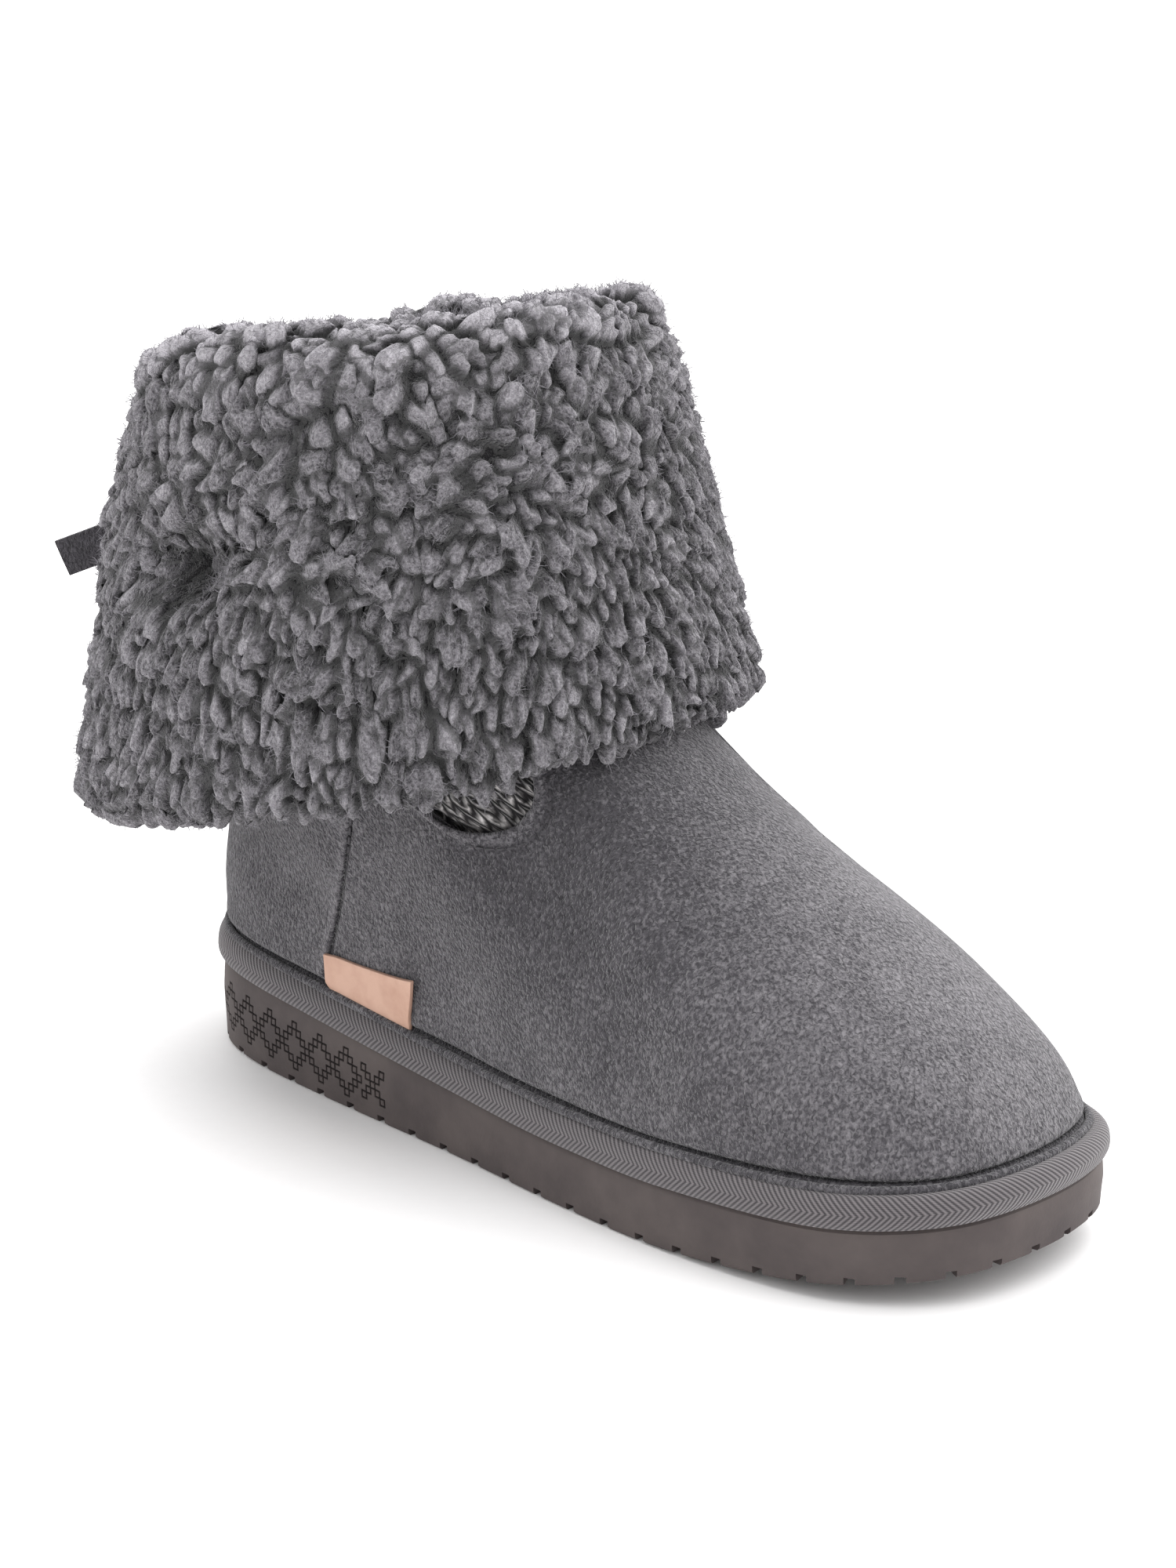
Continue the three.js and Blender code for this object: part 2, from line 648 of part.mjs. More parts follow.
addPiece("outsole", outsole(), 0x5e5756, 0.75);
addPiece("welt", welt(), 0x6b676a, 0.9);
addPiece("upper", upper(), 0x69676b, 0.95);
addPiece("insole", insole(), 0x8a878c, 1);
addPiece("shaft", shaft(), 0x7a7778, 1);
addPiece("fleece_cuff", fleeceCuff(), 0x77757a, 1);
addPiece("tie_patch_outer", tiePatch(Math.PI / 2), 0x5d5b5e, 0.95);
addPiece("tie_patch_inner", tiePatch(1.5 * Math.PI), 0x5d5b5e, 0.95);
addPiece("tie", tie(), 0x5d5b5e, 0.95);
addPiece("tag", tag(), 0xd2ad97, 0.7);

const box = new THREE.Box3().setFromObject(boot);
const middle = box.getCenter(new THREE.Vector3());
boot.position.set(-middle.x, -middle.y, -box.min.z);

export default boot;
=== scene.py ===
"""Fold-over winter boot for the right foot: its looks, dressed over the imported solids, in metres."""

import math

import bpy
import numpy as np
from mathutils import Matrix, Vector


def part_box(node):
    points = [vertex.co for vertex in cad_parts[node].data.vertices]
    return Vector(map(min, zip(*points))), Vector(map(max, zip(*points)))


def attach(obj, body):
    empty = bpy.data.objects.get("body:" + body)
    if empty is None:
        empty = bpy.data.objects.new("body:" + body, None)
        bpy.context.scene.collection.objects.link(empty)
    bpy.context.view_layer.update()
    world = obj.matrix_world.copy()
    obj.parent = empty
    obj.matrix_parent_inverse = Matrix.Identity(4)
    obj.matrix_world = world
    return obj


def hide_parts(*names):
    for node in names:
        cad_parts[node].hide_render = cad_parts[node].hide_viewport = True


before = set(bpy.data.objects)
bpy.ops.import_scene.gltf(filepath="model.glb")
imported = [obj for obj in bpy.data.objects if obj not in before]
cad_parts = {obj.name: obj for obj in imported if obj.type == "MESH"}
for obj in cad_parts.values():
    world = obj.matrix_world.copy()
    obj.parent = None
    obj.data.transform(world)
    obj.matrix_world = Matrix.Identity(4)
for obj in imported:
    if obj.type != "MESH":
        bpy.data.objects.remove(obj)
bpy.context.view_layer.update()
bpy.ops.object.select_all(action="DESELECT")


# Camera: stands at the boot's outer side and ahead of it, a little above, and looks at its middle.
VIEW_AZIMUTH = math.radians(41.27)  # from the outer side round towards the toe
VIEW_ELEVATION = math.radians(19.42)
VIEW_DISTANCE = 1.1
VIEW_PIVOT = Vector((0.024, 0.0, 0.1))
VIEW_AIM = Vector((0.0177, -0.0075, 0.0959))  # middle of the boot as it is seen
VIEW_LENS = 133.7

view_level = math.cos(VIEW_ELEVATION)
view_back = Vector(
    (
        view_level * math.sin(VIEW_AZIMUTH),
        -view_level * math.cos(VIEW_AZIMUTH),
        math.sin(VIEW_ELEVATION),
    )
)
view_right = Vector((math.cos(VIEW_AZIMUTH), math.sin(VIEW_AZIMUTH), 0))
view_eye = VIEW_PIVOT + VIEW_DISTANCE * view_back
bpy.ops.object.camera_add(location=view_eye)
camera = bpy.context.object
camera.rotation_euler = (VIEW_AIM - view_eye).to_track_quat("-Z", "Y").to_euler()
camera.data.lens = VIEW_LENS
camera.data.sensor_fit = "HORIZONTAL"
bpy.context.scene.camera = camera


# Floor: a sheet of matt white paper, laid flat under the boot and wide enough to fill the view, and
# the white room around it.
FLOOR_SIZE = 14
FLOOR_PAPER = "F8F7F7"
FLOOR_PAPER_LIGHT = "FCFBFB"
ROOM_WHITE = "FFFFFF"
ROOM_STRENGTH = 0.8


def linear(hex_colour):
    """An sRGB hex colour as linear red, green, blue and full alpha."""
    parts = [int(hex_colour[i : i + 2], 16) / 255 for i in (0, 2, 4)]
    return [p / 12.92 if p <= 0.04045 else ((p + 0.055) / 1.055) ** 2.4 for p in parts] + [1]


def add_node(tree, kind, sockets=None, **settings):
    """A node with its settings, and with its sockets set to a value or linked to another's output."""
    made = tree.nodes.new(kind)
    for name, value in settings.items():
        setattr(made, name, value)
    for name, value in (sockets or {}).items():
        if isinstance(value, bpy.types.NodeSocket):
            tree.links.new(value, made.inputs[name])
        else:
            made.inputs[name].default_value = value
    return made


def new_material(name, **sockets):
    """A material with its shader's constant sockets set by name."""
    material = bpy.data.materials.new(name)
    material.use_nodes = True
    shader = material.node_tree.nodes["Principled BSDF"]
    for socket, value in sockets.items():
        shader.inputs[socket.replace("_", " ")].default_value = value
    return material, material.node_tree, shader


# Matt uncoated paper: no gloss to see, only the faint tooth of its fibres.
paper, tree, shader = new_material("matt_paper", Roughness=0.9)
PAPER_TOOTH = 0.004  # coarser than life, to show
place = add_node(tree, "ShaderNodeTexCoord")
tooth = add_node(tree, "ShaderNodeTexNoise", {"Vector": place.outputs["Object"], "Scale": 1 / PAPER_TOOTH})
sheet = add_node(
    tree,
    "ShaderNodeMix",
    {0: tooth.outputs["Fac"], 6: linear(FLOOR_PAPER), 7: linear(FLOOR_PAPER_LIGHT)},
    data_type="RGBA",
)
tree.links.new(sheet.outputs[2], shader.inputs["Base Color"])

bpy.ops.mesh.primitive_plane_add(size=FLOOR_SIZE, location=(0, 0, 0))
floor = bpy.context.object
floor.name = "floor"
floor.data.materials.append(paper)

room = bpy.data.worlds.new("white_room")
room.use_nodes = True
room.node_tree.nodes["Background"].inputs["Color"].default_value = linear(ROOM_WHITE)
room.node_tree.nodes["Background"].inputs["Strength"].default_value = ROOM_STRENGTH
bpy.context.scene.world = room
bpy.context.scene.view_settings.view_transform = "Standard"

# Studio lights: a broad overhead light from the right, even over the whole floor, and a weak
# soft box low on the left.
OVERHEAD_FROM = (0.5, 0.6, 1.15)  # to the right, away from the camera, up
OVERHEAD_STRENGTH = 4.5
OVERHEAD_SPREAD = math.radians(120)
FILL_FROM = (-1.3, -0.5, 0.7)
FILL_WIDTH = 1.2
FILL_WATTS = 4
view_away = Vector((-math.sin(VIEW_AZIMUTH), math.cos(VIEW_AZIMUTH), 0))


def studio_place(rightward, away, up):
    return rightward * view_right + away * view_away + Vector((0, 0, up))


for kind, place in (("SUN", studio_place(*OVERHEAD_FROM)), ("AREA", studio_place(*FILL_FROM))):
    bpy.ops.object.light_add(type=kind, location=place)
    light = bpy.context.object
    light.rotation_euler = (VIEW_AIM - place).to_track_quat("-Z", "Y").to_euler()
    if kind == "SUN":
        light.name = "overhead"
        light.data.energy = OVERHEAD_STRENGTH
        light.data.angle = OVERHEAD_SPREAD
    else:
        light.name = "left_fill"
        light.data.shape = "DISK"
        light.data.size = FILL_WIDTH
        light.data.energy = FILL_WATTS


# Outsole: one slab of foamed rubber, moulded with a notched tread edge and a sunk chain of stepped
# diamonds round the heel, and cemented under the bound edge.
SOLE_LENGTH = 269.0  # millimetres, as all the boot's own sizes below
SOLE_HEEL_THICK = 23.5
SOLE_BALL_THICK = 16.5
SOLE_TOE_THICK = 13.5
TOE_SPRING = 9.0
SPRING_START = 0.64
SPRING_POWER = 1.7
TREAD_BEVEL = 0.7
SIDE_BULGE = 0.5
NOTCH_PITCH = 12.1
NOTCH_WIDTH = 2.8
NOTCH_HEIGHT = 2.1
NOTCH_DEPTH = 7.0
DIAMOND_CELL = 1.767  # width of one of the chain's small squares
DIAMOND_CELL_HEIGHT = 1.93
DIAMONDS_EACH_SIDE = 9
DIAMOND_REACH = 3  # squares from a diamond's middle to its point
GROOVE_WIDTH = 0.5
GROOVE_WALL = 0.12
GROOVE_DEPTH = 0.55
PLAIN_STEP = 2.4
CHAIN_LEVEL = 0.51  # share of the side wall's height
CHAIN_MARGIN = 1.5  # of plain wall above and below the chain where the slab is thin
# Columns: share of the length, half width, sideways place of the middle line
SOLE_OUTLINE = np.array(
    [
        (0.0, 0.0, 0.0),
        (0.02, 17.0, 0.0),
        (0.06, 27.6, 0.0),
        (0.12, 33.5, 0.0),
        (0.22, 36.8, -0.2),
        (0.42, 38.9, -2.5),
        (0.58, 43.6, -2.6),
        (0.72, 48.1, 0.0),
        (0.86, 45.9, 1.4),
        (0.93, 38.4, 2.6),
        (0.98, 25.4, 4.6),
        (1.0, 0.0, 6.0),
    ]
)
OUTLINE_WIDEST = SOLE_OUTLINE[:, 1].max()
OUTLINE_BY_TURN = SOLE_OUTLINE.copy()
OUTLINE_BY_TURN[:, 0] = np.arccos(1 - 2 * SOLE_OUTLINE[:, 0])

# The boot's own sizes run from the heel's end on the middle line; the frame's origin lies elsewhere.
heel_end = 1000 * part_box("outsole")[0].x + SIDE_BULGE
middle_line = 500 * (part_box("tie_patch_outer")[0].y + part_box("tie_patch_inner")[1].y)
BOOT_PLACE = np.array([heel_end, middle_line, 0])


def mix(a, b, share):
    return a + (b - a) * share


def ease(value, start, end):
    share = np.clip((value - start) / (end - start), 0, 1)
    return share * share * (3 - 2 * share)


def read_rows(rows, at):
    """A table's other columns at values of its first one, on a smooth curve through its rows."""
    keys = rows[:, 0]
    slopes = np.empty_like(rows)
    slopes[1:-1] = (rows[2:] - rows[:-2]) / (keys[2:] - keys[:-2])[:, None]
    slopes[0] = (rows[1] - rows[0]) / (keys[1] - keys[0])
    slopes[-1] = (rows[-1] - rows[-2]) / (keys[-1] - keys[-2])
    at = np.clip(at, keys[0], keys[-1])
    i = np.clip(np.searchsorted(keys, at) - 1, 0, len(keys) - 2)
    span = (keys[i + 1] - keys[i])[..., None]
    t = (at - keys[i])[..., None] / span
    rise = (rows[i + 1] - rows[i]) * (3 - 2 * t) * t * t
    read = rows[i] + rise + slopes[i] * span * t * (1 - t) ** 2 - slopes[i + 1] * span * t * t * (1 - t)
    return np.moveaxis(read[..., 1:], -1, 0)


# A turn round the boot runs from the heel by the outer side to the toe and back by the inner side.
def half_turn(turn):
    turn = np.mod(turn, 2 * np.pi)
    inner = turn > np.pi
    return np.where(inner, 2 * np.pi - turn, turn), np.where(inner, 1.0, -1.0)


def sole_plan(turn):
    half, side = half_turn(turn)
    width, centre = read_rows(OUTLINE_BY_TURN, half)
    return np.stack([SOLE_LENGTH * (0.5 - 0.5 * np.cos(half)), centre + side * width], -1)


def sole_outwards(turn):
    along = sole_plan(turn + 0.03) - sole_plan(turn - 0.03)
    along /= np.linalg.norm(along, axis=-1, keepdims=True)
    return np.stack([along[..., 1], -along[..., 0]], -1)


def tread_height(x):
    past = np.maximum(0, (x / SOLE_LENGTH - SPRING_START) / (1 - SPRING_START))
    return TOE_SPRING * past**SPRING_POWER


def sole_top(x):
    share = np.clip(x / SOLE_LENGTH, 0, 1)
    to_ball = mix(SOLE_HEEL_THICK, SOLE_BALL_THICK, ease(share, 0.05, 0.55))
    return tread_height(x) + mix(to_ball, SOLE_TOE_THICK, ease(share, 0.7, 1))


# Distance walked round the outline, to set out what repeats along it
fine_turns = np.linspace(0, 2 * np.pi, 4001)
fine_steps = np.linalg.norm(np.diff(sole_plan(fine_turns), axis=0), axis=1)
fine_walk = np.concatenate([[0], np.cumsum(fine_steps)])
PERIMETER = fine_walk[-1]


def to_frame(points):
    return (points + BOOT_PLACE) / 1000


def grid_piece(name, points):
    """A grid primitive whose rows and columns of points are brought to the piece's form and place."""
    rows, columns = points.shape[:2]
    bpy.ops.object.select_all(action="DESELECT")
    bpy.ops.mesh.primitive_grid_add(x_subdivisions=columns - 1, y_subdivisions=rows - 1)
    piece = bpy.context.object
    piece.name = piece.data.name = name
    piece.data.vertices.foreach_set("co", to_frame(points.reshape(-1, 3)).ravel())
    return piece


def set_uv(piece, across, along):
    """The piece's UV map in millimetres, from a value of each for every point."""
    corners = np.empty(len(piece.data.loops), int)
    piece.data.loops.foreach_get("vertex_index", corners)
    flat = np.stack([across.ravel(), along.ravel()], 1)
    piece.data.uv_layers[0].data.foreach_set("uv", flat[corners].ravel())


def set_value(piece, name, values):
    made = piece.data.attributes.new(name, "FLOAT", "POINT")
    made.data.foreach_set("value", np.asarray(values, np.float32).ravel())


def close_seams(piece):
    bpy.context.view_layer.objects.active = piece
    bpy.ops.object.mode_set(mode="EDIT")
    bpy.ops.mesh.select_all(action="SELECT")
    bpy.ops.mesh.remove_doubles(threshold=2e-6)
    bpy.ops.object.mode_set(mode="OBJECT")


def apply_modifier(piece, kind, **settings):
    bpy.context.view_layer.objects.active = piece
    modifier = piece.modifiers.new(kind.lower(), kind)
    for name, value in settings.items():
        setattr(modifier, name, value)
    bpy.ops.object.modifier_apply(modifier=modifier.name)


def dress(piece, material, slot, *nodes, smooth_up_to=40):
    """Gives a finished piece its material and smooth faces, and fixes it to the boot."""
    bpy.ops.object.select_all(action="DESELECT")
    piece.select_set(True)
    bpy.context.view_layer.objects.active = piece
    bpy.ops.object.shade_smooth_by_angle(angle=math.radians(smooth_up_to))
    piece.data.materials.clear()
    piece.data.materials.append(material)
    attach(piece, "root")
    if nodes:
        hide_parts(*nodes)


def mesh_piece(name, points, faces):
    """A joined mesh of many small things, from an array of points and lists of faces."""
    mesh = bpy.data.meshes.new(name)
    mesh.from_pydata(to_frame(points).tolist(), [], faces)
    mesh.update()
    piece = bpy.data.objects.new(name, mesh)
    bpy.context.scene.collection.objects.link(piece)
    return piece


# Walking distances of the side wall's columns: close pairs at every groove line, plain past the chain
groove_edges = np.array([-1, -1, 1, 1]) * GROOVE_WIDTH / 2 + np.array([-1, 1, -1, 1]) * GROOVE_WALL / 2
chain_end = 2 * DIAMOND_REACH * (DIAMONDS_EACH_SIDE + 0.5) + 2.5
cell_lines = (np.arange(0.5, chain_end + 0.5) * DIAMOND_CELL)[:, None] + groove_edges
chain_walk = np.concatenate([[0], cell_lines.ravel()])
plain_walk = PERIMETER - 2 * chain_walk[-1]
plain_columns = np.linspace(0, plain_walk, round(plain_walk / PLAIN_STEP))[1:-1] + chain_walk[-1]
walk = np.concatenate([chain_walk, plain_columns, PERIMETER - chain_walk[::-1]])
sole_turns = np.interp(walk, fine_walk, fine_turns)
wall_lines = (np.arange(-3.5, 4) * DIAMOND_CELL_HEIGHT)[:, None] + groove_edges
plan = sole_plan(sole_turns)
outwards = sole_outwards(sole_turns)
_, spine = read_rows(OUTLINE_BY_TURN, half_turn(sole_turns)[0])
bottom, top = tread_height(plan[:, 0]), sole_top(plan[:, 0])


def sole_row(inset, height, share=1.0):
    """A row round the slab, set in from its outline, or drawn in towards its middle line for a cap."""
    edge = plan - outwards * np.asarray(inset)[..., None]
    y = mix(spine, edge[:, 1], share)
    return np.stack([edge[:, 0], y, np.broadcast_to(height, y.shape)], -1)


sole_rows = [sole_row(TREAD_BEVEL, bottom, s) for s in (0, 0.3, 0.6, 0.8, 0.93)]
sole_rows += [sole_row(TREAD_BEVEL, bottom), sole_row(0, bottom + TREAD_BEVEL)]
rows_below_chain = len(sole_rows)
signed_walk = np.where(walk > PERIMETER / 2, PERIMETER - walk, -walk) / DIAMOND_CELL
marked = []
for step in range(DIAMONDS_EACH_SIDE + 1):
    middle = 2 * DIAMOND_REACH * (step + 0.5)
    reach = range(-DIAMOND_REACH, DIAMOND_REACH + 1)
    if step < DIAMONDS_EACH_SIDE:
        marked += [(middle + i, j) for i in reach for j in reach if abs(i) + abs(j) == DIAMOND_REACH]
    else:
        marked += [(middle + i, j) for i in range(-2, 3) for j in {i, -i}]
marked += [(-along, up) for along, up in marked]
squeezed = np.minimum(1, (top - bottom - CHAIN_MARGIN) / (2 * wall_lines.max()))
groove_rows = []
for height in wall_lines.ravel():
    up = height / DIAMOND_CELL_HEIGHT
    sunk = np.zeros(len(walk))
    for square_along, square_up in marked:
        off = np.maximum(abs(signed_walk - square_along), abs(up - square_up))
        sunk[abs(off - 0.5) < GROOVE_WIDTH / 2 / DIAMOND_CELL] = 1
    z = mix(bottom, top, CHAIN_LEVEL) + height * squeezed
    share = (z - bottom) / (top - bottom)
    bulge = SIDE_BULGE * np.interp(share, [0, 0.25, 0.6, 0.88, 1], [0, 0.3, 1, 0.4, 0])
    sole_rows.append(sole_row(GROOVE_DEPTH * sunk - bulge, z))
    groove_rows.append(sunk)
sole_rows += [sole_row(0.15, mix(bottom, top, 0.97)), sole_row(0.5, top)]
sole_rows += [sole_row(0.5, top, s) for s in (0.9, 0.5, 0)]
outsole = grid_piece("outsole_rubber", np.stack(sole_rows))
sunk_rows = np.zeros((len(sole_rows), len(walk)))
sunk_rows[rows_below_chain : rows_below_chain + len(groove_rows)] = groove_rows
set_value(outsole, "sunk", sunk_rows)
close_seams(outsole)

# Notches are cut all round the tread edge by blocks laid across it.
notch_count = round(PERIMETER / NOTCH_PITCH)
notch_walk = (np.arange(notch_count) + 0.5) * PERIMETER / notch_count
notch_turns = np.interp(notch_walk, fine_walk, fine_turns)
block_points, block_faces = [], []
corner_signs = np.array([(x, y, z) for x in (-1, 1) for y in (-1, 1) for z in (-1, 1)])
box_faces = [(0, 1, 3, 2), (4, 6, 7, 5), (0, 4, 5, 1), (2, 3, 7, 6), (0, 2, 6, 4), (1, 5, 7, 3)]
for spot, out in zip(sole_plan(notch_turns), sole_outwards(notch_turns)):
    block_faces += [tuple(8 * len(block_points) + i for i in face) for face in box_faces]
    block = corner_signs * (NOTCH_DEPTH, NOTCH_WIDTH / 2, NOTCH_HEIGHT)
    x = spot[0] + block[:, 0] * out[0] - block[:, 1] * out[1]
    y = spot[1] + block[:, 0] * out[1] + block[:, 1] * out[0]
    block_points.append(np.stack([x, y, tread_height(spot[0]) + block[:, 2]], -1))
cutter = mesh_piece("notch_blocks", np.concatenate(block_points), block_faces)
apply_modifier(outsole, "BOOLEAN", operation="DIFFERENCE", object=cutter, solver="EXACT")
bpy.data.objects.remove(cutter)

# Foamed rubber, moulded: dull and even and faintly cloudy, with painted shade in the cuts of the sunk
# chain.
SOLE_DARK = "453E3E"
SOLE_LIGHT = "59514F"
# painted shade: the colour the sunk chain's cuts are darkened to
SOLE_CUT_SHADE = "1F1B1B"
SOLE_CLOUD = 0.025
SOLE_GRAIN = 0.0009  # coarser than life, to show
rubber, tree, shader = new_material("foamed_rubber", Roughness=0.72, IOR=1.5, Specular_IOR_Level=0.35)
place = add_node(tree, "ShaderNodeTexCoord")
cloud = add_node(
    tree,
    "ShaderNodeTexNoise",
    {"Vector": place.outputs["Object"], "Scale": 1 / SOLE_CLOUD, "Detail": 4, "Roughness": 0.6},
)
grain = add_node(
    tree, "ShaderNodeTexNoise", {"Vector": place.outputs["Object"], "Scale": 1 / SOLE_GRAIN, "Detail": 2}
)
cloudy = add_node(
    tree,
    "ShaderNodeMapRange",
    {"Value": cloud.outputs["Fac"], "From Min": 0.3, "From Max": 0.7},
)
body = add_node(
    tree,
    "ShaderNodeMix",
    {0: cloudy.outputs["Result"], 6: linear(SOLE_DARK), 7: linear(SOLE_LIGHT)},
    data_type="RGBA",
)
sunk = add_node(tree, "ShaderNodeAttribute", attribute_name="sunk")
# painted shade: the cuts, as the sunk mask marks them, are darkened
painted_cut_shade = add_node(
    tree,
    "ShaderNodeMix",
    {0: sunk.outputs["Fac"], 6: body.outputs[2], 7: linear(SOLE_CUT_SHADE)},
    data_type="RGBA",
)
pores = add_node(
    tree, "ShaderNodeBump", {"Height": grain.outputs["Fac"], "Strength": 0.25, "Distance": 0.0003}
)
tree.links.new(painted_cut_shade.outputs[2], shader.inputs["Base Color"])
tree.links.new(pores.outputs["Normal"], shader.inputs["Normal"])
dress(outsole, rubber, "sole_foam", "outsole")


# Welt: a herringbone twill tape wrapped over the edge of the footbed, from the sole's top up to the
# suede, and sewn down along its upper side.
WELT_COLUMNS = 420
WELT_ROWS = 30
GAP = 0.3
# Columns: out from the sole's outline, up from its top
WELT_RIM = [(0.2, 0.2), (1.2, 0.9), (1.8, 2.6), (1.5, 5.5), (0.4, 7.5), (-1.2, 8.5)]
WELT_INNER_HEIGHTS = [8.5, 5.0, 0.5]
# Level sections of the boot's form, by height above the sole's edge.
# Columns: height, back end, front end, half girth, share of oval, place of the greatest width
FORM_SECTIONS = np.array(
    [
        (-8, 6.0, 261, 42.8, 0.0, 0.7),
        (0, 4.5, 263, 43.8, 0.0, 0.7),
        (10, 1.8, 264.5, 45.4, 0.05, 0.68),
        (22, 0.6, 260, 45.4, 0.15, 0.65),
        (34, 0.4, 249.5, 44.4, 0.35, 0.6),
        (48, 0.6, 230, 43.4, 0.6, 0.52),
        (62, 1.2, 205.5, 42.4, 0.85, 0.44),
        (76, 2.0, 176, 42.6, 1.0, 0.43),
        (90, 2.8, 149, 44.5, 1.0, 0.46),
        (104, 3.2, 129, 47.5, 1.0, 0.5),
        (122, 2.6, 119, 50.5, 1.0, 0.5),
        (200, -3.5, 112.5, 52.0, 1.0, 0.5),
    ]
)
FORM_BASE = 20.0
LEVEL_FADE = 50.0


def form_height(x, up):
    return FORM_BASE + up + (sole_top(x) - FORM_BASE) * (1 - ease(up, 0, LEVEL_FADE))


def form_point(turn, up):
    turn, up = np.broadcast_arrays(turn, up)
    half, side = half_turn(turn)
    back, front, girth, oval_share, wide = read_rows(FORM_SECTIONS, up)
    foot_half, foot_centre = read_rows(OUTLINE_BY_TURN, half)
    share = 0.5 - 0.5 * np.cos(half)
    reach = np.where(share < wide, 1 - share / wide, (share - wide) / (1 - wide))
    oval = np.sqrt(np.maximum(0, 1 - reach * reach))
    width = girth * mix(foot_half / OUTLINE_WIDEST, oval, oval_share)
    x = mix(back, front, share)
    return np.stack([x, foot_centre * (1 - oval_share) + side * width, form_height(x, up)], -1)


def unit(vectors):
    return vectors / np.maximum(np.linalg.norm(vectors, axis=-1, keepdims=True), 1e-9)


def form_normal(turn, up):
    around = form_point(turn + 0.03, up) - form_point(turn - 0.03, up)
    rise = form_point(turn, up + 1.5) - form_point(turn, up - 1.5)
    return unit(np.cross(around, rise))


def form_face(turn, up, offset):
    return form_point(turn, up) + form_normal(turn, up) * np.asarray(offset)[..., None]


def smooth_curve(points, samples, closed=False):
    """Points spread along a smooth curve through the given ones."""
    points = np.asarray(points, float)
    count = len(points)
    spans = count if closed else count - 1
    at = np.linspace(0, spans, samples)
    i = np.minimum(at.astype(int), spans - 1)
    t = (at - i)[(slice(None),) + (None,) * (points.ndim - 1)]
    nearby = [i - 1, i, i + 1, i + 2]
    a, b, c, d = (points[n % count if closed else np.clip(n, 0, count - 1)] for n in nearby)
    m, n = (c - a) / 2, (d - b) / 2
    return b + m * t + (3 * (c - b) - 2 * m - n) * t**2 + (2 * (b - c) + m + n) * t**3


welt_turns = np.linspace(0, 2 * np.pi, WELT_COLUMNS + 1)
welt_loops = []
for out, up in WELT_RIM:
    edge = sole_plan(welt_turns) + out * sole_outwards(welt_turns)
    welt_loops.append(np.stack([edge[:, 0], edge[:, 1], sole_top(edge[:, 0]) + GAP + up], -1))
welt_loops += [form_face(welt_turns, up, GAP * np.ones(len(welt_turns))) for up in WELT_INNER_HEIGHTS]
welt_points = smooth_curve(np.stack(welt_loops), WELT_ROWS + 1, closed=True)
welt = grid_piece("welt_tape", welt_points)
tape_across = np.linalg.norm(np.diff(welt_points, axis=0, prepend=welt_points[:1]), axis=2).cumsum(axis=0)
tape_along = np.broadcast_to(np.interp(welt_turns, fine_turns, fine_walk), tape_across.shape)
set_uv(welt, tape_along, tape_across)
close_seams(welt)

# Herringbone twill of polyester yarn: slanted ribs that meet in points along the tape's middle, with a
# dry low sheen.
TWILL_PITCH = 1.5  # along the tape
TWILL_MIDDLE = 5.0  # where the ribs turn, across the tape
TWILL_THREAD = 0.5
TAPE_DARK = "353235"
TAPE_LIGHT = "787375"
twill, tree, shader = new_material(
    "herringbone_twill", Roughness=0.85, Sheen_Weight=0.25, Sheen_Roughness=0.5, Specular_IOR_Level=0.3
)
place = add_node(tree, "ShaderNodeUVMap", uv_map="UVMap")
apart = add_node(tree, "ShaderNodeSeparateXYZ", {"Vector": place.outputs["UV"]})
from_middle = add_node(
    tree, "ShaderNodeMath", {0: apart.outputs["Y"], 1: TWILL_MIDDLE}, operation="SUBTRACT"
)
slant = add_node(tree, "ShaderNodeMath", {0: from_middle.outputs[0]}, operation="ABSOLUTE")
ribs = add_node(tree, "ShaderNodeMath", {0: apart.outputs["X"], 1: slant.outputs[0]}, operation="ADD")
rib_turn = add_node(
    tree, "ShaderNodeMath", {0: ribs.outputs[0], 1: 2 * math.pi / TWILL_PITCH}, operation="MULTIPLY"
)
rib_wave = add_node(tree, "ShaderNodeMath", {0: rib_turn.outputs[0]}, operation="SINE")
thread_turn = add_node(
    tree, "ShaderNodeMath", {0: apart.outputs["Y"], 1: 2 * math.pi / TWILL_THREAD}, operation="MULTIPLY"
)
thread_wave = add_node(tree, "ShaderNodeMath", {0: thread_turn.outputs[0]}, operation="SINE")
weave = add_node(
    tree,
    "ShaderNodeMath",
    {0: thread_wave.outputs[0], 1: 0.25, 2: rib_wave.outputs[0]},
    operation="MULTIPLY_ADD",
)
yarn_share = add_node(
    tree, "ShaderNodeMapRange", {"Value": weave.outputs[0], "From Min": -1.1, "From Max": 1.1}
)
yarn = add_node(
    tree,
    "ShaderNodeMix",
    {0: yarn_share.outputs["Result"], 6: linear(TAPE_DARK), 7: linear(TAPE_LIGHT)},
    data_type="RGBA",
)
relief = add_node(
    tree, "ShaderNodeBump", {"Height": yarn_share.outputs["Result"], "Strength": 0.7, "Distance": 0.0004}
)
tree.links.new(yarn.outputs[2], shader.inputs["Base Color"])
tree.links.new(relief.outputs["Normal"], shader.inputs["Normal"])
dress(welt, twill, "twill_tape", "welt")


# Upper: microfibre suede in two panels, a vamp and a heel counter lapped over it at the side seams, with
# a raised seam down the back and a turned collar. It is lasted over the form and sewn to the welt.
SUEDE_WALL = 2.5
COUNTER_RISE = 0.8
COUNTER_FOOT = 35.2
SEAM_SINK = 0.5
BACK_SEAM_RISE = 0.8
BACK_SEAM_WIDTH = 5.0
COLLAR_ROLL = 0.7  # how far the turned collar edge stands proud
COLLAR_ROLL_WIDTH = 2.6
SEAM_FOOT = (60.6, 32.0)  # side seam seen from the side: along, height
SEAM_HEAD = (98.0, 150.0)
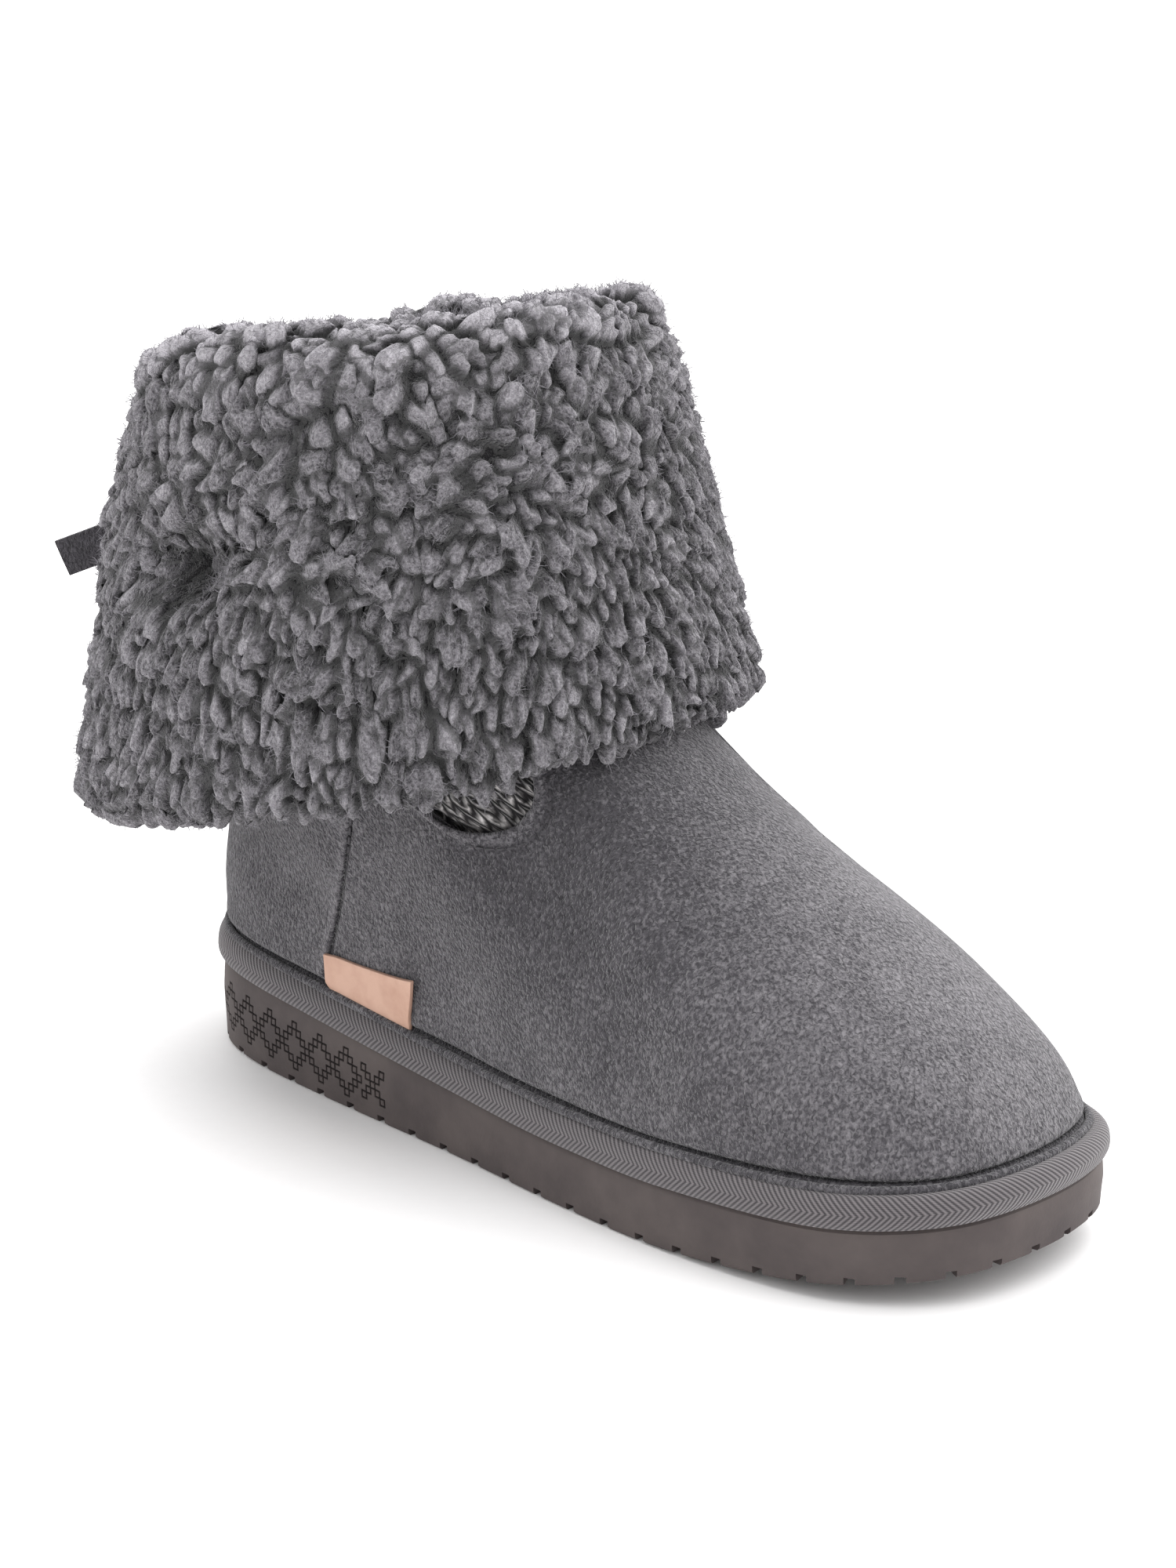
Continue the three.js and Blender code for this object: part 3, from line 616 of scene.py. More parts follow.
# Heights of the lowest rows of points above the sole's edge, close together in the groove by the piping
FOOT_ROWS = [-4, 2, 6.5, 8.8, 9.7, 10.2, 10.6, 10.9, 11.2, 11.6, 12.2, 13, 14.2, 16]
FOOT_LINE = 10.9  # height of the line where the suede meets the piping
FOOT_SINK = 0.9
COLLAR_RANGE = (40, 125)  # heights between which the collar is looked for
# Collar seen from the side: along, height
COLLAR_LINE = [
    (-60, 112),
    (4, 110),
    (40, 106),
    (75, 101),
    (96, 95.4),
    (106, 91.6),
    (114, 89.4),
    (122, 89.8),
    (128.6, 92),
    (132, 95.6),
    (133.2, 102),
    (124, 118),
    (111, 129),
    (116, 136),
    (190, 137),
]
# Soft creases seen from the side, each a trough between two points.
# Columns: side of the foot (0 for both), along and height of one end, of the other, depth, half width
CREASES = [
    (-1, 132, 90, 176, 50, 1.5, 11),
    (1, 132, 90, 172, 54, 1.2, 11),
    (-1, 84, 80, 112, 44, 0.8, 12),
    (0, 184, 84, 206, 58, 0.6, 7),
    (0, 168, 98, 186, 70, 0.5, 6),
    (-1, 10, 66, 54, 58, 0.7, 8),
    (1, 12, 62, 50, 66, 0.7, 8),
    (-1, 214, 40, 236, 30, 0.5, 8),
]
# Soft patches, lighter or darker: partly nap brushed another way, partly painted light on the toe
# and the vamp's top and painted shade on the vamp under the cuff: along, aside, height, size, amount
NAP_PATCHES_AND_PAINTED_LIGHT = [
    (232, -6, 62, 46, 0.85),
    (258, -4, 40, 34, 0.45),
    (196, 10, 88, 34, 0.6),
    (150, -30, 80, 30, -0.95),
    (172, -40, 58, 26, -0.5),
    (120, -42, 60, 26, -0.25),
    (205, -44, 40, 18, -0.3),
    (228, -36, 30, 14, -0.25),
    (92, -40, 46, 22, 0.15),
    (4, -16, 64, 24, 0.25),
    (28, -30, 76, 16, -0.2),
    (150, 30, 78, 30, -0.4),
    (205, 44, 40, 20, -0.25),
    (60, 40, 60, 26, -0.2),
]

collar_curve = smooth_curve(COLLAR_LINE, 120)
collar_area = np.concatenate([collar_curve, [(190, 400), (-60, 400)]])


def beyond_collar(x, z):
    """Whether a point seen from the side lies above the collar."""
    inside = np.zeros(x.shape, bool)
    for (ax, az), (bx, bz) in zip(collar_area, np.roll(collar_area, -1, axis=0)):
        if az != bz:
            inside ^= ((az > z) != (bz > z)) & (x < (bx - ax) * (z - az) / (bz - az) + ax)
    return inside


# Height of the collar on the form for each turn of one side
collar_turns = np.linspace(0, np.pi, 400)
collar_tries = np.linspace(*COLLAR_RANGE, 700)
tried = form_point(collar_turns[:, None], collar_tries[None, :])
COLLAR_UPS = collar_tries[beyond_collar(tried[..., 0], tried[..., 2]).argmax(axis=1)]


def collar_up(turn):
    return np.interp(half_turn(turn)[0], collar_turns, COLLAR_UPS)


def seam_turn(up):
    """Turn of the side seam at each height."""
    back, front = read_rows(FORM_SECTIONS, up)[:2]
    z = FORM_BASE + up
    x = mix(SEAM_FOOT[0], SEAM_HEAD[0], (z - SEAM_FOOT[1]) / (SEAM_HEAD[1] - SEAM_FOOT[1]))
    return np.arccos(1 - 2 * (x - back) / (front - back))


# Columns run 0 at the heel, 1 at the side seam, 2 at the toe, and back along the inner side
to_seam = np.concatenate([[0, 0.012, 0.03, 0.045], np.linspace(0.07, 0.95, 30), [0.975, 0.99, 0.997, 1]])
to_toe = np.concatenate([[1.0012, 1.005, 1.008, 1.014], np.linspace(1.03, 2, 84)])
half_columns = np.concatenate([to_seam, to_toe])
upper_columns = np.concatenate([half_columns, 4 - half_columns[-2::-1]])
rise_levels = np.concatenate([np.linspace(0, 0.93, 40)[1:], [0.945, 0.96, 0.972, 0.982, 0.99, 0.996, 1]])
half_column = np.minimum(upper_columns, 4 - upper_columns)[None, :]
foot_ups = np.repeat(np.array(FOOT_ROWS)[:, None], len(upper_columns), axis=1)
ups = np.concatenate([foot_ups, np.full((len(rise_levels), len(upper_columns)), 40.0)])
for _ in range(12):
    seam = seam_turn(ups)
    half = np.where(half_column <= 1, half_column * seam, seam + (half_column - 1) * (np.pi - seam))
    collar_here = np.interp(half[len(FOOT_ROWS) :], collar_turns, COLLAR_UPS)
    ups = np.concatenate([foot_ups, mix(FOOT_ROWS[-1], collar_here, rise_levels[:, None])])
turns = np.where(upper_columns[None, :] <= 2, half, 2 * np.pi - half)
plain = form_point(turns, ups)
x, y, z = np.moveaxis(plain, -1, 0)
above_foot = ease(z, COUNTER_FOOT - 2.2, COUNTER_FOOT)
lap = COUNTER_RISE * np.where(half_column <= 0.998, 1.0, 0.6 * (half_column <= 1)) * above_foot
in_seam = (half_column > 1) * (half_column < 1.007) * above_foot
lap_edge = (half_column > 0.98) * (half_column <= 1) * above_foot
back_seam = BACK_SEAM_RISE * (1 - ease(abs(y), BACK_SEAM_WIDTH / 2 - 0.6, BACK_SEAM_WIDTH / 2 + 0.4))
back_seam = back_seam * (x < 40) * above_foot
below_collar = np.interp(half, collar_turns, COLLAR_UPS) - ups
across_roll = 2 * below_collar / COLLAR_ROLL_WIDTH - 1
roll = COLLAR_ROLL * np.sqrt(np.maximum(0, 1 - across_roll**2))
foot_groove = np.exp(-(((ups - FOOT_LINE) / 0.5) ** 2))
foot_roll = np.exp(-(((ups - FOOT_LINE - 2.4) / 1.6) ** 2))
relief_height = lap + back_seam + roll - SEAM_SINK * in_seam - FOOT_SINK * foot_groove + 0.4 * foot_roll
for side, ax, az, bx, bz, depth, width in CREASES:
    span = np.array([bx - ax, bz - az])
    share = np.clip(((x - ax) * span[0] + (z - az) * span[1]) / (span @ span), 0, 1)
    off = np.hypot(x - ax - share * span[0], z - az - share * span[1])
    trough = np.exp(-((off / width) ** 2)) - 0.45 * np.exp(-(((off - 2 * width) / width) ** 2))
    relief_height = relief_height - depth * trough * ((side == 0) | (np.sign(y) == side))
upper_points = plain + form_normal(turns, ups) * relief_height[..., None]
# painted highlights on the lap edge and the collar roll, painted shade in the side seam's groove and in the
# groove along the piping
nap_and_painted_light = 0.9 * lap_edge - 3 * in_seam - 4 * foot_groove + 0.9 * roll / COLLAR_ROLL
# painted light and shade, together with brushed nap: soft patches added to the same values
for along, aside, high, size, amount in NAP_PATCHES_AND_PAINTED_LIGHT:
    off = np.linalg.norm(plain - (along, aside, high), axis=-1)
    nap_and_painted_light = nap_and_painted_light + amount * np.exp(-((off / size) ** 2))
upper = grid_piece("suede_upper", upper_points)
set_value(upper, "nap_and_painted_light", nap_and_painted_light)
close_seams(upper)
apply_modifier(upper, "SOLIDIFY", thickness=SUEDE_WALL / 1000, offset=-1)


# Microfibre suede, brushed: a short nap that catches the light at grazing angles, speckled in light and
# dark where the fibres lie differently, with soft lighter and darker patches, partly brushed nap and partly
# painted light and shade.
NAP_FIBRE = 0.0009  # coarser than life, to show
NAP_TUFT = 0.0045
NAP_PATCH = 0.026
NAP_BRUSH_AND_LIGHT = 0.3  # lightening for a value of one: brushed nap or painted light
SUEDE_DARK = "232225"
SUEDE_MID = "4D4B4F"
SUEDE_LIGHT = "949195"


def suede(name, dark, mid, light):
    material, tree, shader = new_material(
        name, Roughness=0.95, Sheen_Weight=0.35, Sheen_Roughness=0.35, Specular_IOR_Level=0.2
    )
    place = add_node(tree, "ShaderNodeTexCoord")
    leaning = add_node(
        tree,
        "ShaderNodeMapping",
        {"Vector": place.outputs["Object"], "Rotation": (0.3, 0.5, 0.2), "Scale": (1, 1, 0.8)},
    )
    nap = add_node(
        tree,
        "ShaderNodeTexNoise",
        {"Vector": leaning.outputs["Vector"], "Scale": 1 / NAP_FIBRE, "Detail": 2, "Distortion": 0.6},
    )
    tuft = add_node(
        tree,
        "ShaderNodeTexNoise",
        {"Vector": leaning.outputs["Vector"], "Scale": 1 / NAP_TUFT, "Detail": 3, "Distortion": 0.5},
    )
    patch = add_node(
        tree,
        "ShaderNodeTexNoise",
        {"Vector": place.outputs["Object"], "Scale": 1 / NAP_PATCH, "Detail": 4, "Distortion": 0.6},
    )
    tufts = add_node(tree, "ShaderNodeMath", {0: tuft.outputs["Fac"], 1: 0.22}, operation="MULTIPLY")
    mottle = add_node(
        tree,
        "ShaderNodeMath",
        {0: patch.outputs["Fac"], 1: 0.6, 2: tufts.outputs[0]},
        operation="MULTIPLY_ADD",
    )
    # painted light and shade, with brushed nap, read from the piece's values
    nap_and_painted_light = add_node(tree, "ShaderNodeAttribute", attribute_name="nap_and_painted_light")
    patches_and_painted_light = add_node(
        tree,
        "ShaderNodeMath",
        {0: nap_and_painted_light.outputs["Fac"], 1: NAP_BRUSH_AND_LIGHT, 2: mottle.outputs[0]},
        operation="MULTIPLY_ADD",
    )
    lying = add_node(
        tree, "ShaderNodeMapRange", {"Value": patches_and_painted_light.outputs[0], "From Min": -0.66, "From Max": 1.48}
    )
    speckle = add_node(
        tree,
        "ShaderNodeMapRange",
        {"Value": nap.outputs["Fac"], "From Min": 0.3, "From Max": 0.7, "To Min": -0.22, "To Max": 0.22},
    )
    share = add_node(
        tree,
        "ShaderNodeMath",
        {0: lying.outputs["Result"], 1: speckle.outputs["Result"]},
        operation="ADD",
        use_clamp=True,
    )
    low = add_node(
        tree, "ShaderNodeMapRange", {"Value": share.outputs[0], "From Min": 0.0, "From Max": 0.45}
    )
    high = add_node(
        tree, "ShaderNodeMapRange", {"Value": share.outputs[0], "From Min": 0.45, "From Max": 1.0}
    )
    ground = add_node(
        tree,
        "ShaderNodeMix",
        {0: low.outputs["Result"], 6: linear(dark), 7: linear(mid)},
        data_type="RGBA",
    )
    tips = add_node(
        tree,
        "ShaderNodeMix",
        {0: high.outputs["Result"], 6: ground.outputs[2], 7: linear(light)},
        data_type="RGBA",
    )
    pile = add_node(
        tree, "ShaderNodeBump", {"Height": nap.outputs["Fac"], "Strength": 1.0, "Distance": 0.0016}
    )
    tree.links.new(tips.outputs[2], shader.inputs["Base Color"])
    tree.links.new(pile.outputs["Normal"], shader.inputs["Normal"])
    return material


upper_suede = suede("microfibre_suede", SUEDE_DARK, SUEDE_MID, SUEDE_LIGHT)
dress(upper, upper_suede, "suede", "upper")

# Sewing thread: rows of single stitches sunk into the suede at the collar, in the side seams and on both
# sides of the back seam.
STITCH_PITCH = 3.2
STITCH_LENGTH = 2.5
STITCH_RADIUS = 0.38
STITCH_SIDES = 6
COLLAR_ROW_DOWN = 0.6  # below the turned edge
SEAM_ROW_HEIGHTS = (14.5, 86)
SEAM_ROW_PAST = 0.008  # turn from the side seam
BACK_ROW_TURN = 0.142


def stitch_row(line, normals):
    """Stitches laid end to end along a line of points, each a short bead of thread."""
    walked = np.concatenate([[0], np.linalg.norm(np.diff(line, axis=0), axis=1).cumsum()])
    middles = np.arange(STITCH_PITCH / 2, walked[-1], STITCH_PITCH)
    beads = []
    for along, thick in ((-0.5, 0.35), (-0.38, 0.85), (0, 1), (0.38, 0.85), (0.5, 0.35)):
        at = middles + along * STITCH_LENGTH
        spot = np.stack([np.interp(at, walked, line[:, k]) for k in range(3)], -1)
        out = unit(np.stack([np.interp(at, walked, normals[:, k]) for k in range(3)], -1))
        ahead = np.stack([np.interp(at + 0.5, walked, line[:, k]) for k in range(3)], -1) - spot
        across = unit(np.cross(out, ahead))
        angle = np.arange(STITCH_SIDES) * 2 * np.pi / STITCH_SIDES
        ring = np.cos(angle)[:, None] * across[:, None, :] + np.sin(angle)[:, None] * out[:, None, :]
        beads.append(spot[:, None, :] + STITCH_RADIUS * thick * ring)
    return np.stack(beads, 1)


def bead_faces(first, rings, sides):
    faces = [tuple(first + i for i in range(sides))]
    last = first + (rings - 1) * sides
    faces.append(tuple(last + i for i in reversed(range(sides))))
    for r in range(rings - 1):
        for i in range(sides):
            a, b = first + r * sides + i, first + r * sides + (i + 1) % sides
            faces.append((a, a + sides, b + sides, b))
    return faces


around = np.linspace(0, 2 * np.pi, 700)
collar_ups = collar_up(around) - COLLAR_ROLL_WIDTH - COLLAR_ROW_DOWN
seam_lines = [(around, collar_ups, 0.1)]
heights = np.linspace(*SEAM_ROW_HEIGHTS, 120)
for inner in (False, True):
    seam_side = seam_turn(heights) + SEAM_ROW_PAST
    seam_lines.append((2 * np.pi - seam_side if inner else seam_side, heights, -0.35))
    back_side = np.full(len(heights), BACK_ROW_TURN)
    seam_lines.append((2 * np.pi - back_side if inner else back_side, heights, COUNTER_RISE + 0.05))
stitches, stitch_faces, beads_before = [], [], 0
for line_turns, line_ups, offset in seam_lines:
    offset = np.full(len(line_turns), offset)
    rows = stitch_row(form_face(line_turns, line_ups, offset), form_normal(line_turns, line_ups))
    for bead in rows:
        stitch_faces += bead_faces(beads_before, *bead.shape[:2])
        beads_before += bead.shape[0] * bead.shape[1]
    stitches.append(rows.reshape(-1, 3))
thread_rows = mesh_piece("seam_stitches", np.concatenate(stitches), stitch_faces)

# Bonded polyester thread: two plies twisted together, a little shinier than the suede.
THREAD_DARK = "2E2C2F"
THREAD_LIGHT = "504E52"
THREAD_TWIST = 0.0007
thread, tree, shader = new_material("bonded_thread", Roughness=0.6, Specular_IOR_Level=0.4)
place = add_node(tree, "ShaderNodeTexCoord")
twist = add_node(
    tree, "ShaderNodeTexNoise", {"Vector": place.outputs["Object"], "Scale": 1 / THREAD_TWIST, "Detail": 1}
)
ply = add_node(
    tree,
    "ShaderNodeMix",
    {0: twist.outputs["Fac"], 6: linear(THREAD_DARK), 7: linear(THREAD_LIGHT)},
    data_type="RGBA",
)
tree.links.new(ply.outputs[2], shader.inputs["Base Color"])
dress(thread_rows, thread, "suede")


# Piping: a thin roll of the same suede round a cord, caught in the seam between the upper and the welt
# and pressed a little flat by them.
PIPING_RADIUS = 1.1
PIPING_UP = 9.4  # of its middle above the sole's edge
PIPING_OUT = 1.25
PIPING_COLUMNS = 420
PIPING_SIDES = 10
PIPING_PRESSED = 1.1  # its height for its depth
PIPING_SHADED = -0.35  # darker than brushed suede


def face_outwards(piece):
    bpy.context.view_layer.objects.active = piece
    bpy.ops.object.mode_set(mode="EDIT")
    bpy.ops.mesh.normals_make_consistent(inside=False)
    bpy.ops.object.mode_set(mode="OBJECT")


piping_turns = np.linspace(0, 2 * np.pi, PIPING_COLUMNS + 1)
piping_out = np.full(len(piping_turns), PIPING_OUT)
piping_line = form_face(piping_turns, PIPING_UP, piping_out)
piping_normal = form_normal(piping_turns, np.full(len(piping_turns), PIPING_UP))
piping_up = unit(np.cross(piping_normal, np.gradient(piping_line, axis=0)))
piping_rows = []
for angle in np.linspace(0, -2 * np.pi, PIPING_SIDES + 1):
    ring = math.cos(angle) * piping_normal + PIPING_PRESSED * math.sin(angle) * piping_up
    piping_rows.append(piping_line + PIPING_RADIUS * ring)
piping = grid_piece("suede_piping", np.stack(piping_rows))
set_value(piping, "nap_and_painted_light", np.full((PIPING_SIDES + 1, PIPING_COLUMNS + 1), PIPING_SHADED))
close_seams(piping)
face_outwards(piping)
dress(piping, upper_suede, "suede")


# Insole: a foam footbed covered in short fleece, cut to the boot's inside and laid loose on the sole
# inside the upper.
INSOLE_THICK = 5.0
INSOLE_EDGE_UP = 3.0  # where the form's inner face is read for its edge
INSOLE_COLUMNS = 160
insole_turns = np.linspace(0, 2 * np.pi, INSOLE_COLUMNS + 1)
_, insole_spine = read_rows(OUTLINE_BY_TURN, half_turn(insole_turns)[0])


def insole_row(rise, share):
    inside = np.full(len(insole_turns), -SUEDE_WALL - 1.5 * GAP)
    edge = form_face(insole_turns, INSOLE_EDGE_UP, inside)
    height = sole_top(edge[:, 0]) + GAP + rise
    return np.stack([edge[:, 0], mix(insole_spine, edge[:, 1], share), height], -1)


insole_rows = [insole_row(0, s) for s in (0, 0.5, 1)]
insole_rows += [insole_row(0.6 * INSOLE_THICK, 1), insole_row(0.92 * INSOLE_THICK, 0.985)]
insole_rows += [insole_row(INSOLE_THICK, s) for s in (0.95, 0.75, 0.5, 0.25, 0)]
insole = grid_piece("insole_footbed", np.stack(insole_rows))
close_seams(insole)

# Short sherpa fleece: curled nubs a few millimetres across, with painted shade in the gaps between them.
NUB_SIZE = 0.0042
NUB_GAP_SHADE = "2E2C31"
NUB_LIGHT = "7B787E"
short_fleece, tree, shader = new_material(
    "short_sherpa_fleece", Roughness=1.0, Sheen_Weight=0.38, Sheen_Roughness=0.5, Specular_IOR_Level=0.1
)
place = add_node(tree, "ShaderNodeTexCoord")
wander = add_node(
    tree, "ShaderNodeTexNoise", {"Vector": place.outputs["Object"], "Scale": 0.6 / NUB_SIZE, "Detail": 3}
)
nubs = add_node(
    tree,
    "ShaderNodeTexVoronoi",
    {"Vector": place.outputs["Object"], "Scale": 1 / NUB_SIZE, "Randomness": 1.0},
)
mound = add_node(
    tree,
    "ShaderNodeMath",
    {0: wander.outputs["Fac"], 1: 0.9, 2: nubs.outputs["Distance"]},
    operation="MULTIPLY_ADD",
)
mound_share = add_node(
    tree,
    "ShaderNodeMapRange",
    {"Value": mound.outputs[0], "From Min": 0.35, "From Max": 1.15, "To Min": 1.0, "To Max": 0.0},
)
# painted shade: darker where the ground lies low between the nubs
curl = add_node(
    tree,
    "ShaderNodeMix",
    {0: mound_share.outputs["Result"], 6: linear(NUB_GAP_SHADE), 7: linear(NUB_LIGHT)},
    data_type="RGBA",
)
nap_relief = add_node(
    tree, "ShaderNodeBump", {"Height": mound_share.outputs["Result"], "Strength": 0.9, "Distance": 0.002}
)
tree.links.new(curl.outputs[2], shader.inputs["Base Color"])
tree.links.new(nap_relief.outputs["Normal"], shader.inputs["Normal"])
dress(insole, short_fleece, "fleece", "insole")


# Shaft: a tube of marled yarn knitted in cables on a purl ground, sewn into the collar and turned over
# at the top. Only a crescent at the collar's dip and the back slit show it.
KNIT_WALL = 1.6
KNIT_RECESS = 1.0
SHAFT_HALF_LENGTH = 57.0
SHAFT_HALF_WIDTH = 51.0
SHAFT_AXIS_FOLD = 56.0
SHAFT_AXIS_HEM = 64.5
FOLD_HEIGHT = 201.0
CUFF_SLOPE = 0.207
CUFF_DROP = 109.0
SHAFT_TOP_DOWN = 15.8
SHAFT_COLUMNS = 200
SHAFT_ROWS = 64
SHAFT_SEWN_IN = 3.0  # of its foot below the collar's edge
SHAFT_MIDDLE_UP = 165.0  # height at which its places along the boot are read
SHAFT_GIRTH_UP = 130.0  # height at which its girth is read
CABLE_PITCH = 37.0  # round the shaft, from cable to cable
CABLE_WIDTH = 22.0
CABLE_TURN = 31.0  # height of one crossing
CABLE_RISE = 2.6


def cuff_axis(down):
    return mix(SHAFT_AXIS_FOLD, SHAFT_AXIS_HEM, down / CUFF_DROP)


def cable_rise(around, height):
    """Height of the knit's face above its ground: two strands that cross over and under in a cable."""
    off = np.mod(around + CABLE_PITCH / 2, CABLE_PITCH) - CABLE_PITCH / 2
    phase = 2 * np.pi * height / CABLE_TURN
    rise = np.zeros(np.broadcast(around, height).shape)
    for strand in (0, np.pi):
        centre = CABLE_WIDTH / 4 * np.sin(phase / 2 + strand)
        over = 0.65 + 0.35 * np.cos(phase / 2 + strand)
        swell = np.sqrt(np.maximum(0, 1 - ((off - centre) / (CABLE_WIDTH * 0.3)) ** 2))
        rise = np.maximum(rise, CABLE_RISE * over * swell)
    return rise


shaft_turns = np.linspace(0, 2 * np.pi, SHAFT_COLUMNS + 1)
shaft_foot = collar_up(shaft_turns) - SHAFT_SEWN_IN
from_axis = form_point(shaft_turns, SHAFT_MIDDLE_UP)[:, 0] - cuff_axis(SHAFT_TOP_DOWN)
shaft_head = FOLD_HEIGHT - SHAFT_TOP_DOWN + CUFF_SLOPE * from_axis - FORM_BASE
shaft_ups = mix(shaft_foot, shaft_head, np.linspace(0, 1, SHAFT_ROWS)[:, None])
girth_steps = np.linalg.norm(np.diff(form_point(shaft_turns, SHAFT_GIRTH_UP), axis=0), axis=1)
girth_walk = np.concatenate([[0], girth_steps.cumsum()])
cable_count = round(girth_walk[-1] / CABLE_PITCH)
knit_around = np.broadcast_to(girth_walk * cable_count * CABLE_PITCH / girth_walk[-1], shaft_ups.shape)
tucked = 1 - ease(shaft_ups - collar_up(shaft_turns), -0.5, 3.0)
knit_rise = cable_rise(knit_around + CABLE_PITCH / 2, shaft_ups) * (1 - tucked)
shaft_offset = -KNIT_RECESS - 1.2 + knit_rise * 0.8 - 1.6 * tucked
shaft_points = form_face(np.broadcast_to(shaft_turns, shaft_ups.shape), shaft_ups, shaft_offset)
shaft = grid_piece("knit_shaft", shaft_points)
set_uv(shaft, knit_around, shaft_ups)
close_seams(shaft)
apply_modifier(shaft, "SOLIDIFY", thickness=KNIT_WALL / 1000, offset=-1)

# Marled acrylic yarn: a light and a dark ply twisted together, so each stitch is streaked, knitted in
# columns of slanted stitch legs with painted shade in the gaps between them.
STITCH_COLUMN = 3.6
STITCH_COURSE = 3.0
STITCH_SLANT = 1.3
MARL_GAP_SHADE = "201E1F"
MARL_MID = "4E4B4C"
MARL_LIGHT = "D2CECD"
MARL_STREAK = 0.0036
UNEVEN_PER_MM = 0.22  # how fast the unevenness of the stitches changes


def marled_knit(name):
    material, tree, shader = new_material(
        name, Roughness=0.95, Sheen_Weight=0.3, Sheen_Roughness=0.5, Specular_IOR_Level=0.15
    )
    place = add_node(tree, "ShaderNodeUVMap", uv_map="UVMap")
    wander = add_node(
        tree,
        "ShaderNodeTexNoise",
        {"Vector": place.outputs["UV"], "Scale": UNEVEN_PER_MM, "Detail": 2},
    )
    uneven = add_node(
        tree,
        "ShaderNodeVectorMath",
        {0: wander.outputs["Color"], 1: (4, 4, 0), 2: place.outputs["UV"]},
        operation="MULTIPLY_ADD",
    )
    apart = add_node(tree, "ShaderNodeSeparateXYZ", {"Vector": uneven.outputs["Vector"]})
    column = add_node(
        tree, "ShaderNodeMath", {0: apart.outputs["X"], 1: STITCH_COLUMN / 2}, operation="PINGPONG"
    )
    lean = add_node(
        tree,
        "ShaderNodeMath",
        {0: column.outputs[0], 1: STITCH_SLANT, 2: apart.outputs["Y"]},
        operation="MULTIPLY_ADD",
    )
    course = add_node(
        tree, "ShaderNodeMath", {0: lean.outputs[0], 1: STITCH_COURSE / 2}, operation="PINGPONG"
    )
    leg = add_node(
        tree,
        "ShaderNodeMapRange",
        {"Value": course.outputs[0], "From Min": 0.15, "From Max": STITCH_COURSE / 2},
        interpolation_type="SMOOTHSTEP",
    )
    wale = add_node(
        tree,
        "ShaderNodeMapRange",
        {"Value": column.outputs[0], "From Min": 0.0, "From Max": 0.6},
        interpolation_type="SMOOTHSTEP",
    )
    loop = add_node(
        tree, "ShaderNodeMath", {0: leg.outputs["Result"], 1: wale.outputs["Result"]}, operation="MULTIPLY"
    )
    where = add_node(tree, "ShaderNodeTexCoord")
    ply = add_node(
        tree,
        "ShaderNodeTexNoise",
        {"Vector": where.outputs["Object"], "Scale": 1 / MARL_STREAK, "Detail": 3, "Distortion": 1.0},
    )
    streak = add_node(
        tree, "ShaderNodeMapRange", {"Value": ply.outputs["Fac"], "From Min": 0.35, "From Max": 0.65}
    )
    twisted = add_node(
        tree,
        "ShaderNodeMix",
        {0: streak.outputs["Result"], 6: linear(MARL_MID), 7: linear(MARL_LIGHT)},
        data_type="RGBA",
    )
    # painted shade: the gaps between the stitch legs are darkened
    yarn = add_node(
        tree,
        "ShaderNodeMix",
        {0: loop.outputs[0], 6: linear(MARL_GAP_SHADE), 7: twisted.outputs[2]},
        data_type="RGBA",
    )
    loops = add_node(
        tree, "ShaderNodeBump", {"Height": loop.outputs[0], "Strength": 1.0, "Distance": 0.0012}
    )
    tree.links.new(yarn.outputs[2], shader.inputs["Base Color"])
    tree.links.new(loops.outputs["Normal"], shader.inputs["Normal"])
    return material


marl = marled_knit("marled_cable_knit")
dress(shaft, marl, "knit", "shaft")

# Lining: a sleeve of the insole's short fleece inside the whole boot, sewn to the cuff's inner edge and
# reaching down to the insole.
LINING_COLUMNS = 160
LINING_ROWS = 44
LINING_FOOT = 5.5
LINING_INSIDE = (6.2, 7.5)  # in from the form, low and under the fold
lining_turns = np.linspace(2 * np.pi, 0, LINING_COLUMNS + 1)
lining_head = np.interp(lining_turns[::-1], shaft_turns, shaft_head)[::-1]
lining_ups = mix(LINING_FOOT, lining_head + 1.0, np.linspace(0, 1, LINING_ROWS)[:, None])
lining_offset = -mix(*LINING_INSIDE, ease(lining_ups, lining_head - 34, lining_head))
lining_points = form_face(np.broadcast_to(lining_turns, lining_ups.shape), lining_ups, lining_offset)
lining = grid_piece("fleece_lining", lining_points)
close_seams(lining)
dress(lining, short_fleece, "fleece")


# Fleece cuff: the shaft's lined top turned down over itself and split down the back. Its face is thick
# sherpa fleece, curled at the fold and combed into hanging nubs below, on a knitted backing.
SLIT_HALF_AT_FOLD = 4.0
SLIT_HALF_AT_HEM = 20.0
DIMPLE_DEPTH = 8.0
PINCH_DEPTH = 6.0  # of the tuck in the middle of each dimple
PINCH_SIZE = 7.0
PINCH_DOWN = 49.0
DIMPLE_ANGLE = 1.45  # from the slit, on both sides
PATCH_DOWN = 46.0
PATCH_LENGTH = 30.0
PATCH_HEIGHT = 18.0
